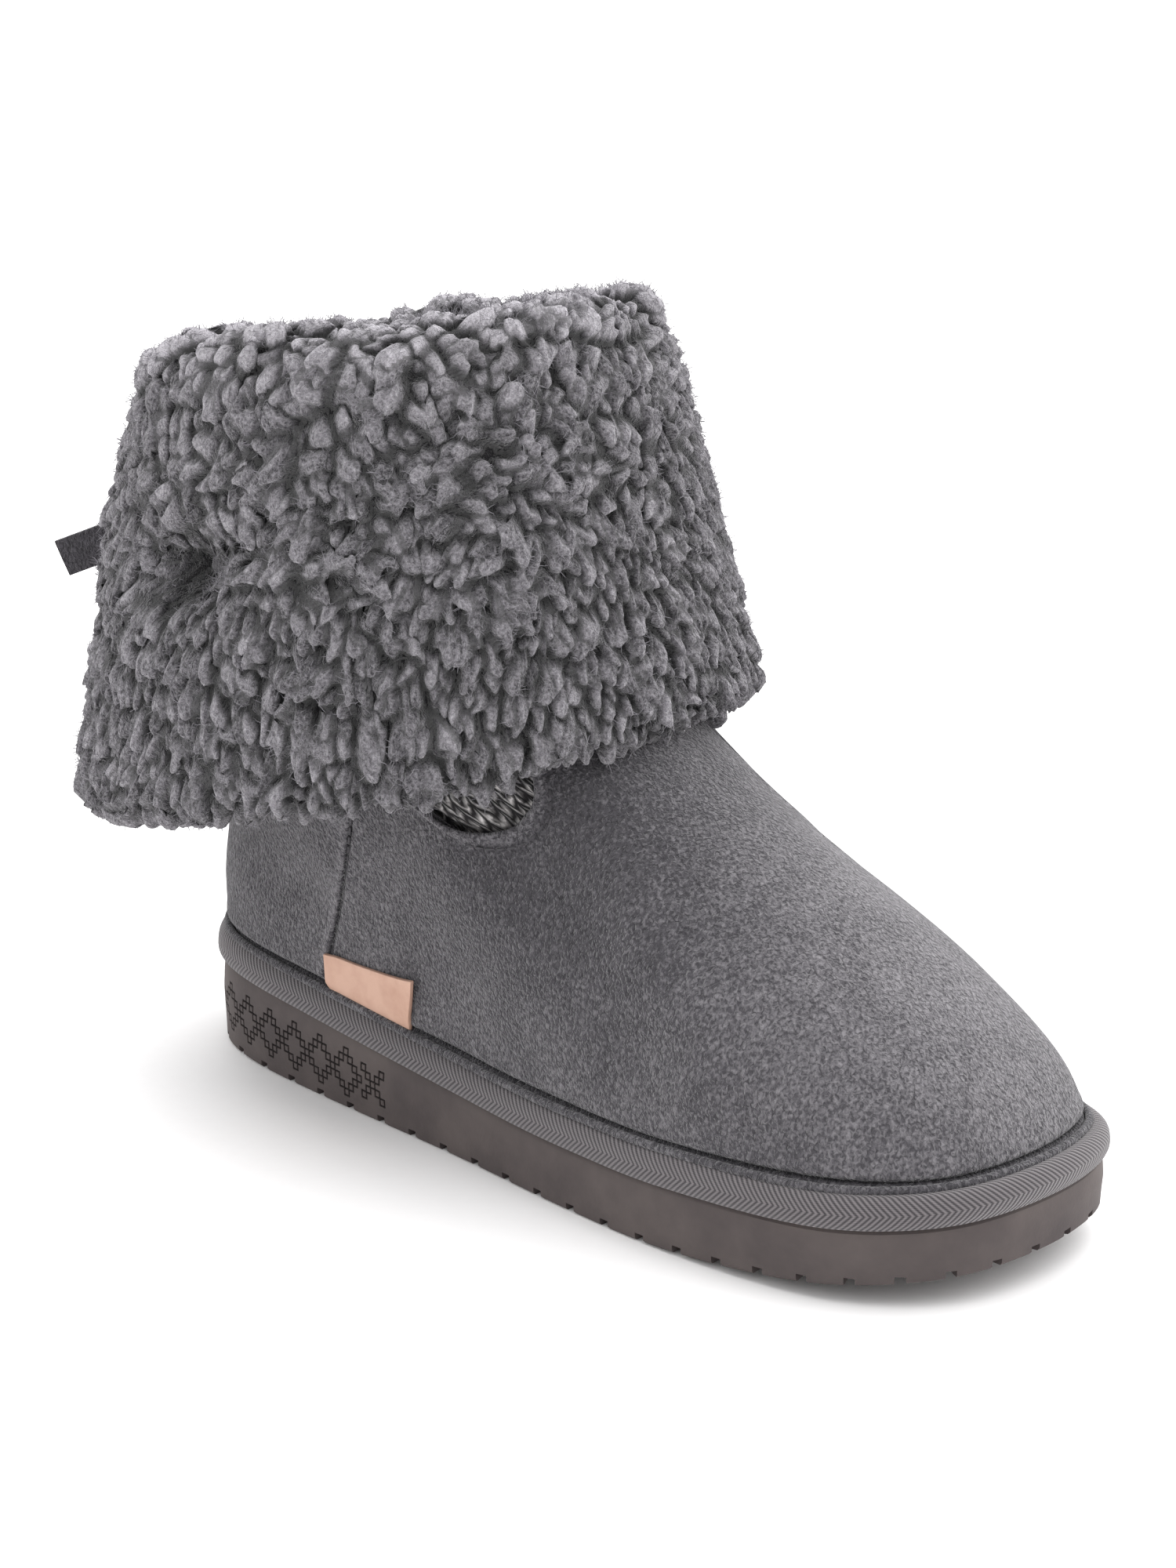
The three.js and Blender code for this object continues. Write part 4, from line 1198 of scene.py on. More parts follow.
# The cuff in section: out from the shaft's face, down from the fold
CUFF_FLEECE = [
    (-15, 34),
    (-15.5, 20),
    (-14, 9),
    (-7, 1.6),
    (1, 0),
    (8, 1.5),
    (12, 6.5),
    (15, 15),
    (18.5, 28),
    (22.5, 48),
    (27.5, 74),
    (31.5, 98),
]
CUFF_HEM = [(31, 101.5), (27.5, 104), (22.5, 103.5)]
CUFF_BACKING = [(18, 101), (12.5, 74), (7.5, 44), (1.5, 15.5), (-3, 14), (-6, 22), (-7.5, 34)]
GROUND_DEPTH = 2.8  # of the cloth below the mean face of the fleece
FLEECE_PARTS = ("fleece_outer_back", "fleece_front", "fleece_inner_back")
FLEECE_COLUMNS = 945
FLEECE_ROWS = 250
PROFILE_POINTS = 400
HEM_DOWN = 97.0  # below which the pile hangs as it does there
INSTEP_TOP = 140.0
NUB_ACROSS = (4.7, 4.0)  # from nub to nub, near the fold and combed
NUB_DOWN = (4.8, 4.4)
NUB_REACH = 8.0
NUB_HEIGHT = 5.0
TUFT_ACROSS = 10.5  # from tuft to tuft of nubs that curl together
TUFT_DOWN = 11.5
NUB_LEAN = (0.5, 0.85)  # how far a nub's top hangs over for its height, at the fold and combed
STRAND = 1.9  # from ridge to ridge of the strands in a nub
CREASE_DEPTH = 1.4  # between neighbouring nubs
CREASE_WIDTH = 0.45
TUFT_CREASE_DEPTH = 1.8  # between neighbouring tufts
PARTING_SIZE = 46.0
PARTING_DEPTH = 1.2
# Soft unevenness of the pile by angle from the slit: rise of the rim, drop of the hem, fullness below
CUFF_UNEVEN = np.array(
    [
        (0.0, -2.0, 0.0, 0.0),
        (0.5, -3.0, 2.5, 3.0),
        (0.9, 2.0, 4.5, 3.6),
        (1.3, 7.0, 4.0, 2.0),
        (1.8, 7.5, 3.5, 0.6),
        (2.3, 5.0, 3.0, 0.0),
        (2.8, 3.0, 0.5, 0.0),
        (3.4, 2.0, 0.0, 0.0),
        (4.2, -1.5, 1.0, 0.4),
        (4.9, -3.0, 2.0, 1.5),
        (5.6, -2.5, 2.0, 2.6),
        (6.2832, -2.0, 0.0, 0.0),
    ]
)
FUZZ_COUNT = 15000
FUZZ_RADIUS = 0.085
FUZZ_LENGTH = (1.5, 3.6)
rng = np.random.default_rng(20)


def cuff_point(angle, out, down):
    """A point of the cuff; the angle runs from the back slit by the outer side."""
    reach = -np.cos(angle) * (SHAFT_HALF_LENGTH + out)
    y = -np.sin(angle) * (SHAFT_HALF_WIDTH + out)
    return np.stack([cuff_axis(down) + reach, y, FOLD_HEIGHT - down + CUFF_SLOPE * reach], -1)


def slit_angle(out, down):
    half = mix(SLIT_HALF_AT_FOLD, SLIT_HALF_AT_HEM, np.clip(down / CUFF_DROP, 0, 1))
    return np.arcsin(half / (SHAFT_HALF_WIDTH + out))


def dimple(angle, down):
    turn = abs(np.minimum(angle, 2 * np.pi - angle) - DIMPLE_ANGLE)
    across = turn * SHAFT_HALF_LENGTH / (PATCH_LENGTH / 2)
    along = (down - PATCH_DOWN) / (PATCH_HEIGHT * 0.6)
    return DIMPLE_DEPTH * np.exp(-across * across - along * along) + PINCH_DEPTH * pinch(angle, down)


def pinch(angle, down):
    """How near a point is to the tuck in the middle of a dimple, from 0 to 1."""
    turn = abs(np.minimum(angle, 2 * np.pi - angle) - DIMPLE_ANGLE)
    off = np.hypot(turn * SHAFT_HALF_LENGTH, down - PINCH_DOWN)
    return np.exp(-((off / PINCH_SIZE) ** 2))


def drift(a, b, size, seed):
    """A smooth wandering value between about -1 and 1, over millimetres of surface."""
    waves = np.random.default_rng(seed)
    total = 0
    for _ in range(7):
        heading = waves.uniform(0, 2 * np.pi)
        length = size * waves.uniform(0.7, 1.6)
        turn = 2 * np.pi * (a * np.cos(heading) + b * np.sin(heading)) / length
        total = total + np.sin(turn + waves.uniform(0, 2 * np.pi))
    return total / 3.2


def clear_of_form(points, margin):
    """Points of the cuff that would lie in the instep are moved out to its face."""
    x, y, z = np.moveaxis(points, -1, 0)
    back, front, girth, _, wide = read_rows(FORM_SECTIONS, z - FORM_BASE)
    widest = mix(back, front, wide)
    reach = np.where(x > widest, front - widest, widest - back)
    inside = np.sqrt(((x - widest) / (reach + margin)) ** 2 + (y / (girth + margin)) ** 2)
    low = (z < INSTEP_TOP) & (inside < 1) & (inside > 0.05)
    push = np.where(low, 1 / np.maximum(inside, 0.05), 1)
    return np.stack([widest + (x - widest) * push, y * push, z], -1)


profile = smooth_curve(CUFF_FLEECE + CUFF_HEM, PROFILE_POINTS)
profile_steps = np.linalg.norm(np.diff(profile, axis=0), axis=1)
profile_walk = np.concatenate([[0], profile_steps.cumsum()])
PROFILE_LENGTH = profile_walk[-1]
profile_tangent = unit(np.gradient(profile, axis=0))
FOLD_WALK = profile_walk[profile[:, 1].argmin()]
past_fold = 3 * PROFILE_POINTS // 4
HEM_WALK = np.interp(HEM_DOWN, profile[past_fold:, 1], profile_walk[past_fold:])


def ring_length(walked):
    """Length of the fleece from slit to slit, so many millimetres from its inner edge."""
    out = np.interp(walked, profile_walk, profile[:, 0])
    down = np.interp(walked, profile_walk, profile[:, 1])
    return (np.pi - slit_angle(out, down)) * (SHAFT_HALF_LENGTH + SHAFT_HALF_WIDTH + 2 * out)


def fleece_point(around, walked, lift):
    """A point over the fleece's ground: share round from slit to slit, millimetres from the inner edge
    over the fold, and height above the mean face."""
    out = np.interp(walked, profile_walk, profile[:, 0])
    down = np.interp(walked, profile_walk, profile[:, 1])
    across = np.interp(walked, profile_walk, profile_tangent[:, 1])
    along = -np.interp(walked, profile_walk, profile_tangent[:, 0])
    start = slit_angle(out, down)
    angle = mix(start, 2 * np.pi - start, around)
    rim, hem, full = read_rows(CUFF_UNEVEN, angle)
    lift = lift - dimple(angle, down) + full * ease(walked, FOLD_WALK + 10, FOLD_WALK + 90)
    rim = rim * (1 - ease(abs(walked - FOLD_WALK), 4, 34))
    hem = hem * ease(walked, FOLD_WALK + 50, PROFILE_LENGTH)
    return cuff_point(angle, out + across * lift, down + along * lift - rim + hem)


def scattered(across, down):
    """Places in staggered, shaken rows over the fleece: share round, and distance from the inner edge."""
    places = []
    walked, row = 0.5, 0
    while walked < PROFILE_LENGTH:
        count = round(ring_length(walked) / across(walked))
        spots = (np.arange(count) + 0.25 + 0.5 * (row % 2) + rng.uniform(-0.36, 0.36, count)) / count
        places.append(np.stack([spots, walked + rng.uniform(-0.4, 0.4, count) * down(walked)], -1))
        walked, row = walked + down(walked), row + 1
    return np.concatenate(places).T


def softened(values, times):
    for _ in range(times):
        for axis in (0, 1):
            values = (np.roll(values, 1, axis) + 2 * values + np.roll(values, -1, axis)) / 4
    return values


def how_combed(walked):
    return ease(walked, FOLD_WALK + 30, FOLD_WALK + 76)


# Nubs are soft mounds longer than wide. They curl together in tufts, each turned its own way near the
# fold and combed towards the hem below, with troughs from tuft to tuft that are darkened with painted
# shade.
tuft_share, tuft_walk = scattered(lambda walked: TUFT_ACROSS, lambda walked: TUFT_DOWN)
tuft_girth = tuft_share * ring_length(tuft_walk)
tuft_combed = how_combed(tuft_walk)
tuft_heading = drift(tuft_girth, tuft_walk, 34, 11) * mix(0.9, 0.35, tuft_combed)
tuft_heading = tuft_heading + rng.uniform(-1, 1, len(tuft_walk)) * mix(1.9, 0.4, tuft_combed)
tuft_curl = rng.normal(0, 1, len(tuft_walk)) * mix(0.07, 0.03, tuft_combed)
tuft_lift = rng.uniform(-1, 1, len(tuft_walk))
nub_share, nub_walk = scattered(
    lambda walked: mix(*NUB_ACROSS, how_combed(walked)), lambda walked: mix(*NUB_DOWN, how_combed(walked))
)
count = len(nub_share)
nub_girth = nub_share * ring_length(nub_walk)
to_tuft = np.hypot(
    (nub_girth[:, None] - tuft_share[None, :] * ring_length(nub_walk)[:, None]) / TUFT_ACROSS,
    (nub_walk[:, None] - tuft_walk[None, :]) / TUFT_DOWN,
)
own_tuft = to_tuft.argmin(axis=1)
off_tuft = to_tuft.min(axis=1)
combed = how_combed(nub_walk)
nub_heading = tuft_heading[own_tuft] + rng.normal(0, 1, count) * mix(0.35, 0.16, combed)
nub_curl = tuft_curl[own_tuft] + rng.normal(0, 1, count) * 0.03
nub_half_length = mix(5.0, 5.8, combed) * rng.uniform(0.75, 1.3, count)
nub_half_width = mix(3.0, 2.1, combed) * rng.uniform(0.75, 1.35, count)
nub_height = NUB_HEIGHT * rng.uniform(0.8, 1.1, count)
at_rim = np.exp(-(((nub_walk - FOLD_WALK) / 12) ** 2))
nub_base = 0.5 - 1.6 * off_tuft**2 + rng.uniform(-0.6, 0.5, count)
nub_base = nub_base + tuft_lift[own_tuft] * mix(0.7, 2.4, at_rim)
# painted highlight: nubs along the fold's rim are lighter, on top of their random tone
nub_tone_and_highlight = np.maximum(0, 0.29 + 0.12 * rng.normal(0, 1, count) + 1.0 * at_rim)
nub_phase = rng.uniform(0, 2 * np.pi, count)

walks = np.linspace(0, PROFILE_LENGTH, FLEECE_ROWS)
shares = np.linspace(0, 1, FLEECE_COLUMNS + 1)
lengths = ring_length(walks)
grid_girth = shares[None, :] * lengths[:, None]
grid_walk = np.broadcast_to(walks[:, None], grid_girth.shape)
stray_walk = 0.8 * drift(grid_girth, grid_walk, 6, 31)
stray_side = 0.8 * drift(grid_girth, grid_walk, 6, 32)
pile = np.zeros(grid_girth.shape)
beside = np.zeros(grid_girth.shape)
pile_heading, pile_tone_and_highlight = np.zeros_like(pile), np.full_like(pile, 0.5)
pile_along, pile_across = np.zeros_like(pile), np.zeros_like(pile)
pile_tuft = np.zeros(pile.shape, dtype=int)
row_step = walks[1]
for i in range(count):
    first = max(0, int((nub_walk[i] - NUB_REACH) / row_step))
    last = min(FLEECE_ROWS, int((nub_walk[i] + NUB_REACH) / row_step) + 2)
    span = NUB_REACH / lengths[first:last].min()
    left = max(0, int((nub_share[i] - span) * FLEECE_COLUMNS))
    right = min(FLEECE_COLUMNS + 1, int((nub_share[i] + span) * FLEECE_COLUMNS) + 2)
    area = (slice(first, last), slice(left, right))
    down = walks[first:last, None] - nub_walk[i] + stray_walk[area]
    side = (shares[None, left:right] - nub_share[i]) * lengths[first:last, None] + stray_side[area]
    along = down * math.cos(nub_heading[i]) + side * math.sin(nub_heading[i])
    across = side * math.cos(nub_heading[i]) - down * math.sin(nub_heading[i]) - nub_curl[i] * along**2
    reach = (along / nub_half_length[i]) ** 2 + (across / nub_half_width[i]) ** 2
    swell = np.maximum(0, 1 - reach) ** 0.42
    strands = 0.28 * np.cos(2 * np.pi * across / STRAND + nub_phase[i]) * swell
    rise = nub_base[i] + nub_height[i] * swell * (0.82 + 0.18 * along / nub_half_length[i]) + strands
    rise[reach >= 1] = 0
    wins = rise > pile[area]
    beside[area] = np.maximum(beside[area], np.minimum(rise, pile[area]))
    pile[area][wins] = rise[wins]
    pile_along[area][wins] = along[wins]
    pile_across[area][wins] = across[wins]
    pile_heading[area][wins] = nub_heading[i]
    pile_tone_and_highlight[area][wins] = nub_tone_and_highlight[i]
    pile_tuft[area][wins] = own_tuft[i]
crease = np.exp(-(((pile - beside) / CREASE_WIDTH) ** 2)) * (beside > 0)
tuft_edge = np.zeros_like(pile)
for axis in (0, 1):
    tuft_edge = np.maximum(tuft_edge, pile_tuft != np.roll(pile_tuft, 1, axis))
tuft_edge = np.minimum(1, 1.4 * softened(tuft_edge, 1))
pile = pile - np.maximum(CREASE_DEPTH * crease, TUFT_CREASE_DEPTH * tuft_edge)
parting = np.exp(-((drift(grid_girth, grid_walk, PARTING_SIZE, 8) / 0.1) ** 2))
pile = softened(np.maximum(0, pile - PARTING_DEPTH * parting), 1)
crease = softened(crease, 1)
relief = (pile - softened(pile, 60)) / NUB_HEIGHT
lean = mix(*NUB_LEAN, ease(grid_walk, FOLD_WALK + 20, FOLD_WALK + 70))
hang = lean * pile * ease(PROFILE_LENGTH - grid_walk, 0, 5)
swayed = shares[None, :] + hang * np.sin(pile_heading) / lengths[:, None]
hang_walk = np.minimum(grid_walk, HEM_WALK)
hang_way = unit(fleece_point(swayed, hang_walk + 0.5, 0) - fleece_point(swayed, hang_walk - 0.5, 0))
fleece_points = fleece_point(swayed, grid_walk, pile - GROUND_DEPTH)
fleece_points = fleece_points + (hang * np.cos(pile_heading))[..., None] * hang_way
fleece_points = clear_of_form(fleece_points, 0.8)
grid_out = np.interp(walks, profile_walk, profile[:, 0])
grid_down = np.interp(walks, profile_walk, profile[:, 1])
grid_start = slit_angle(grid_out, grid_down)[:, None]
tucked_in = pinch(mix(grid_start, 2 * np.pi - grid_start, shares[None, :]), grid_down[:, None])
tucked_in = tucked_in * (grid_walk > FOLD_WALK)
# painted shade: darker in the hollows of the pile, in the tuck of each dimple, in the creases between nubs
# and along the gaps from tuft to tuft
pile_shade = (0.62 + 1.05 * relief) * (1 - 0.9 * tucked_in)
pile_shade = pile_shade * (1 - np.maximum(0.38 * crease, 0.64 * tuft_edge))
fleece_out = unit(np.cross(np.gradient(fleece_points, axis=0), np.gradient(fleece_points, axis=1)))
back_rows = []
for out, down in smooth_curve(CUFF_BACKING, 12):
    start = slit_angle(out, down)
    back_rows.append(cuff_point(mix(start, 2 * np.pi - start, shares), out + 1.0, down - 0.5))
back_points = clear_of_form(np.stack(back_rows), 1.4)
closed_points = np.concatenate([fleece_points, back_points, fleece_points[:1]])[::-1]
back_shape = (len(back_points) + 1, FLEECE_COLUMNS + 1)


def with_back(values, behind):
    """Values of the fleece's face and one value for the rows behind it, in the closed piece's order."""
    return np.concatenate([values, np.full(back_shape, behind)])[::-1]


# Sherpa fleece of crimped polyester: soft streaked fibres gathered into nubs and silvery at their light
# ends, with painted shade nearly black in the hollows and creases between them.
FLEECE_DEEP_SHADE = "111013"
FLEECE_BODY = "3F3D41"
FLEECE_TIP = "C6C2C9"
FIBRE_ACROSS = 1.3
FIBRE_ALONG = 7.0
FLEECE_GRAIN = 0.0009  # coarser than life, to show


def sherpa(name):
    material, tree, shader = new_material(
        name, Roughness=1.0, Sheen_Weight=0.3, Sheen_Roughness=0.5, Specular_IOR_Level=0.1
    )
    place = add_node(tree, "ShaderNodeUVMap", uv_map="UVMap")
    tone_and_highlight = add_node(tree, "ShaderNodeAttribute", attribute_name="tone_and_highlight")
    height = add_node(tree, "ShaderNodeAttribute", attribute_name="pile")
    strands = add_node(
        tree,
        "ShaderNodeMapping",
        {"Vector": place.outputs["UV"], "Scale": (1 / FIBRE_ACROSS, 1 / FIBRE_ALONG, 1)},
    )
    own_place = add_node(
        tree, "ShaderNodeMath", {0: tone_and_highlight.outputs["Fac"], 1: 97.0}, operation="MULTIPLY"
    )
    fibres = add_node(
        tree,
        "ShaderNodeTexNoise",
        {
            "Vector": strands.outputs["Vector"],
            "W": own_place.outputs[0],
            "Scale": 1.0,
            "Detail": 4,
            "Roughness": 0.65,
        },
        noise_dimensions="4D",
    )
    streak = add_node(
        tree, "ShaderNodeMapRange", {"Value": fibres.outputs["Fac"], "From Min": 0.28, "From Max": 0.72}
    )
    space = add_node(tree, "ShaderNodeTexCoord")
    crimp = add_node(
        tree,
        "ShaderNodeTexNoise",
        {"Vector": space.outputs["Object"], "Scale": 1 / FLEECE_GRAIN, "Detail": 2, "Roughness": 0.7},
    )
    fluff = add_node(
        tree,
        "ShaderNodeMapRange",
        {"Value": crimp.outputs["Fac"], "From Min": 0.3, "From Max": 0.7, "To Min": -0.5, "To Max": 0.5},
    )
    fibrous = add_node(
        tree, "ShaderNodeMath", {0: streak.outputs["Result"], 1: fluff.outputs["Result"]}, operation="ADD"
    )
    rise = add_node(
        tree,
        "ShaderNodeMapRange",
        {"Value": height.outputs["Fac"], "From Min": 0.12, "From Max": 0.86},
        interpolation_type="SMOOTHSTEP",
    )
    # the painted highlight along the rim, with the nubs' random tone, lightens the fibres
    light = add_node(
        tree,
        "ShaderNodeMath",
        {0: fibrous.outputs[0], 1: 0.75, 2: tone_and_highlight.outputs["Fac"]},
        operation="MULTIPLY_ADD",
    )
    share = add_node(
        tree, "ShaderNodeMapRange", {"Value": light.outputs[0], "From Min": 0.2, "From Max": 1.7}
    )
    body = add_node(
        tree,
        "ShaderNodeMix",
        {0: share.outputs["Result"], 6: linear(FLEECE_BODY), 7: linear(FLEECE_TIP)},
        data_type="RGBA",
    )
    # painted shade: the low parts of the pile are darkened to nearly black
    deep_shade = add_node(
        tree,
        "ShaderNodeMix",
        {0: rise.outputs["Result"], 6: linear(FLEECE_DEEP_SHADE), 7: body.outputs[2]},
        data_type="RGBA",
    )
    combed = add_node(
        tree, "ShaderNodeBump", {"Height": fibrous.outputs[0], "Strength": 0.9, "Distance": 0.001}
    )
    tree.links.new(deep_shade.outputs[2], shader.inputs["Base Color"])
    tree.links.new(combed.outputs["Normal"], shader.inputs["Normal"])
    return material


fleece = sherpa("sherpa_fleece")
part_columns = FLEECE_COLUMNS // len(FLEECE_PARTS)
for i, name in enumerate(FLEECE_PARTS):
    columns = slice(i * part_columns, (i + 1) * part_columns + 1)
    part = grid_piece(name, closed_points[:, columns])
    set_uv(part, with_back(pile_across, 0.0)[:, columns], with_back(pile_along, 0.0)[:, columns])
    set_value(part, "tone_and_highlight", with_back(pile_tone_and_highlight, 0.3)[:, columns])
    set_value(part, "pile", with_back(pile_shade, 0.5)[:, columns])
    close_seams(part)
    bpy.ops.object.mode_set(mode="EDIT")
    bpy.ops.mesh.select_all(action="SELECT")
    bpy.ops.mesh.fill_holes(sides=0)
    bpy.ops.mesh.normals_make_consistent(inside=False)
    bpy.ops.object.mode_set(mode="OBJECT")
    dress(part, fleece, "fleece", "fleece_cuff", smooth_up_to=180)

# Loose fibres stand off the nubs and soften the cuff's outline.
high = np.flatnonzero(pile > 0.7 * NUB_HEIGHT)
picked = rng.choice(high, FUZZ_COUNT, replace=False)
fuzz_root = fleece_points.reshape(-1, 3)[picked]
fuzz_aim = unit(fleece_out.reshape(-1, 3)[picked] + 0.7 * rng.normal(0, 1, (FUZZ_COUNT, 3)))
fuzz_length = rng.uniform(*FUZZ_LENGTH, (FUZZ_COUNT, 1))
bend = unit(fuzz_aim + 0.7 * rng.normal(0, 1, (FUZZ_COUNT, 3)))
across = unit(np.cross(fuzz_aim, rng.normal(0, 1, (FUZZ_COUNT, 3))))
through = np.cross(fuzz_aim, across)
knee = fuzz_root + 0.5 * fuzz_length * fuzz_aim
fuzz_tip = knee + 0.5 * fuzz_length * bend
angles = np.arange(3) * 2 * np.pi / 3
ring = np.cos(angles)[:, None] * across[:, None] + np.sin(angles)[:, None] * through[:, None]
fuzz_points = np.concatenate(
    [
        fuzz_root[:, None] + FUZZ_RADIUS * ring,
        knee[:, None] + 0.8 * FUZZ_RADIUS * ring,
        fuzz_tip[:, None],
    ],
    axis=1,
)
lies_clear = abs(clear_of_form(fuzz_points, 0.8) - fuzz_points).max(axis=(1, 2)) < 0.01
fuzz_points = fuzz_points[lies_clear]
fibre_faces = [(0, 1, 4, 3), (1, 2, 5, 4), (2, 0, 3, 5), (3, 4, 6), (4, 5, 6), (5, 3, 6), (2, 1, 0)]
fuzz_faces = [tuple(7 * k + c for c in face) for k in range(len(fuzz_points)) for face in fibre_faces]
fuzz = mesh_piece("fleece_fuzz", fuzz_points.reshape(-1, 3), fuzz_faces)

# Single crimped fibres: pale and matt, thinner in life than they are drawn here.
FIBRE_DARK = "58565B"
FIBRE_LIGHT = "949197"
FIBRE_SHADE = 0.0025  # from a pale to a dark stretch
fibre, tree, shader = new_material("loose_fibre", Roughness=1.0, Sheen_Weight=0.3, Specular_IOR_Level=0.1)
place = add_node(tree, "ShaderNodeTexCoord")
strand = add_node(tree, "ShaderNodeTexNoise", {"Vector": place.outputs["Object"], "Scale": 1 / FIBRE_SHADE})
pale = add_node(
    tree,
    "ShaderNodeMix",
    {0: strand.outputs["Fac"], 6: linear(FIBRE_DARK), 7: linear(FIBRE_LIGHT)},
    data_type="RGBA",
)
tree.links.new(pale.outputs[2], shader.inputs["Base Color"])
dress(fuzz, fibre, "fleece")

# The cuff's backing: the shaft's own knit, turned down with the fleece and sewn to it at the hem. It
# shows from below and inside the slit.
BACKING_COLUMNS = 160
BACKING_ROWS = 50
BACKING_FOOT = (20, 104.5)
BACKING_WALL = 1.2
around = np.linspace(0, 1, BACKING_COLUMNS + 1)
backing_curve = smooth_curve([BACKING_FOOT] + CUFF_BACKING[:4], BACKING_ROWS)
backing_rows, backing_around, backing_along = [], [], []
for out, down in backing_curve:
    start = slit_angle(out, down)
    angle = mix(start, 2 * np.pi - start, around)
    girth = angle * SHAFT_HALF_LENGTH * 1.1
    rise = cable_rise(girth, np.full(len(girth), down))
    backing_rows.append(cuff_point(angle, out - 0.3 - 0.8 * rise, down))
    backing_around.append(girth)
    backing_along.append(np.full(len(girth), down))
backing = grid_piece("cuff_knit_backing", clear_of_form(np.stack(backing_rows), 0.6))
set_uv(backing, np.stack(backing_around), np.stack(backing_along))
apply_modifier(backing, "SOLIDIFY", thickness=BACKING_WALL / 1000, offset=1)
dress(backing, marl, "knit")


# Tie patches: two oblongs of the tie's suede, one at each side, sewn flat to the cuff's backing round
# their edges. They hold the ends of the tie's strips.
PATCH_THICK = 1.6
PATCH_COLUMNS = 40
PATCH_ROWS = 24
TIE_DARK = "2C2B2E"
TIE_MID = "434145"
TIE_LIGHT = "625F65"
tie_suede = suede("tie_suede", TIE_DARK, TIE_MID, TIE_LIGHT)
backing_downs = np.array([row[1] for row in CUFF_BACKING[3::-1]])
backing_outs = np.array([row[0] for row in CUFF_BACKING[3::-1]])
for name, node, middle in (
    ("outer_tie_patch", "tie_patch_outer", np.pi / 2),
    ("inner_tie_patch", "tie_patch_inner", 1.5 * np.pi),
):
    half = PATCH_LENGTH / 2 / SHAFT_HALF_LENGTH
    patch_angle = middle + np.linspace(-half, half, PATCH_COLUMNS)[None, :]
    patch_down = PATCH_DOWN + np.linspace(-0.5, 0.5, PATCH_ROWS)[:, None] * PATCH_HEIGHT
    patch_angle, patch_down = np.broadcast_arrays(patch_angle, patch_down)
    edge = np.minimum(
        PATCH_LENGTH / 2 - abs(patch_angle - middle) * SHAFT_HALF_LENGTH,
        PATCH_HEIGHT / 2 - abs(patch_down - PATCH_DOWN),
    )
    sewn = 0.35 * np.exp(-(((edge - 2.2) / 0.6) ** 2))
    patch_out = np.interp(patch_down, backing_downs, backing_outs) - GAP - PATCH_THICK + sewn
    patch = grid_piece(name, cuff_point(patch_angle, patch_out, patch_down))
    apply_modifier(patch, "SOLIDIFY", thickness=(PATCH_THICK - 0.2) / 1000, offset=-1)
    apply_modifier(patch, "BEVEL", width=0.0004, segments=2, limit_method="ANGLE")
    dress(patch, tie_suede, "suede", node)


# Tie: a doubled strip of suede sewn along both edges, from patch to patch round the back and knotted in
# the slit as a bow with two loops and two ends.
TIE_WIDTH = 10.5
TIE_THICK = 1.8
KNOT_OUT = 14.0
KNOT_DOWN = 50.0
KNOT_RADIUS = 6.5
KNOT_LENGTH = 13.0
# Strip from the outer patch to the knot: degrees from the slit, out, down
STRIP_PATH = [
    (88, 3.7, 46),
    (72, 3.7, 46),
    (54, 5, 47),
    (34, 5, 49),
    (19, 4.5, 50),
    (9, 5.5, 50),
    (3, 9.5, 50),
    (-1, 14, 50),
]
# Loops and ends from the knot: away from the boot, away from the middle, down
LOOP_PATH = [(0, 3, 1), (5, 6.6, 8), (10, 8, 19), (10, 8.5, 28), (5, 8, 26), (2, 6.6, 13), (0.5, 3, 3)]
LOOSE_END_PATH = [(0, 0, -1), (9, 3, -1), (20, 10, 4), (38, 23.5, 13)]
HANGING_END_PATH = [(-1, 1, 1), (-4.5, 4, 12), (-6, 5.5, 32), (-3, 5, 46)]
STRIP_SECTION_POINTS = 20


def strip_points(path, widthway, stations):
    """A flat strip along a path, its section a soft-edged band with two sewn lines."""
    line = smooth_curve(path, stations)
    tangent = unit(np.gradient(line, axis=0))
    across = unit(widthway - (tangent @ widthway)[:, None] * tangent)
    through = np.cross(tangent, across)
    angle = np.arange(STRIP_SECTION_POINTS + 1) * 2 * np.pi / STRIP_SECTION_POINTS
    wide = np.sign(np.cos(angle)) * abs(np.cos(angle)) ** 0.45 * TIE_WIDTH / 2
    sewn = 1 - 0.3 * np.exp(-(((abs(wide) - TIE_WIDTH * 0.34) / 0.7) ** 2))
    thick = np.sign(np.sin(angle)) * abs(np.sin(angle)) ** 0.45 * TIE_THICK / 2 * sewn
    rows = line[:, None] + wide[None, :, None] * across[:, None] + thick[None, :, None] * through[:, None]
    start = np.broadcast_to(line[:1, None], rows[:1].shape)
    end = np.broadcast_to(line[-1:, None], rows[:1].shape)
    return np.concatenate([start, rows, end])


knot = cuff_point(0.0, KNOT_OUT, KNOT_DOWN)
upright, level_way = np.array([0, 0, 1.0]), np.array([0, 1.0, 0])


def from_knot(path, side):
    return [knot + (-away, side * aside, -drop) for away, aside, drop in path]


def strip_path(side):
    return [cuff_point(side * math.radians(angle), out, down) for angle, out, down in STRIP_PATH]


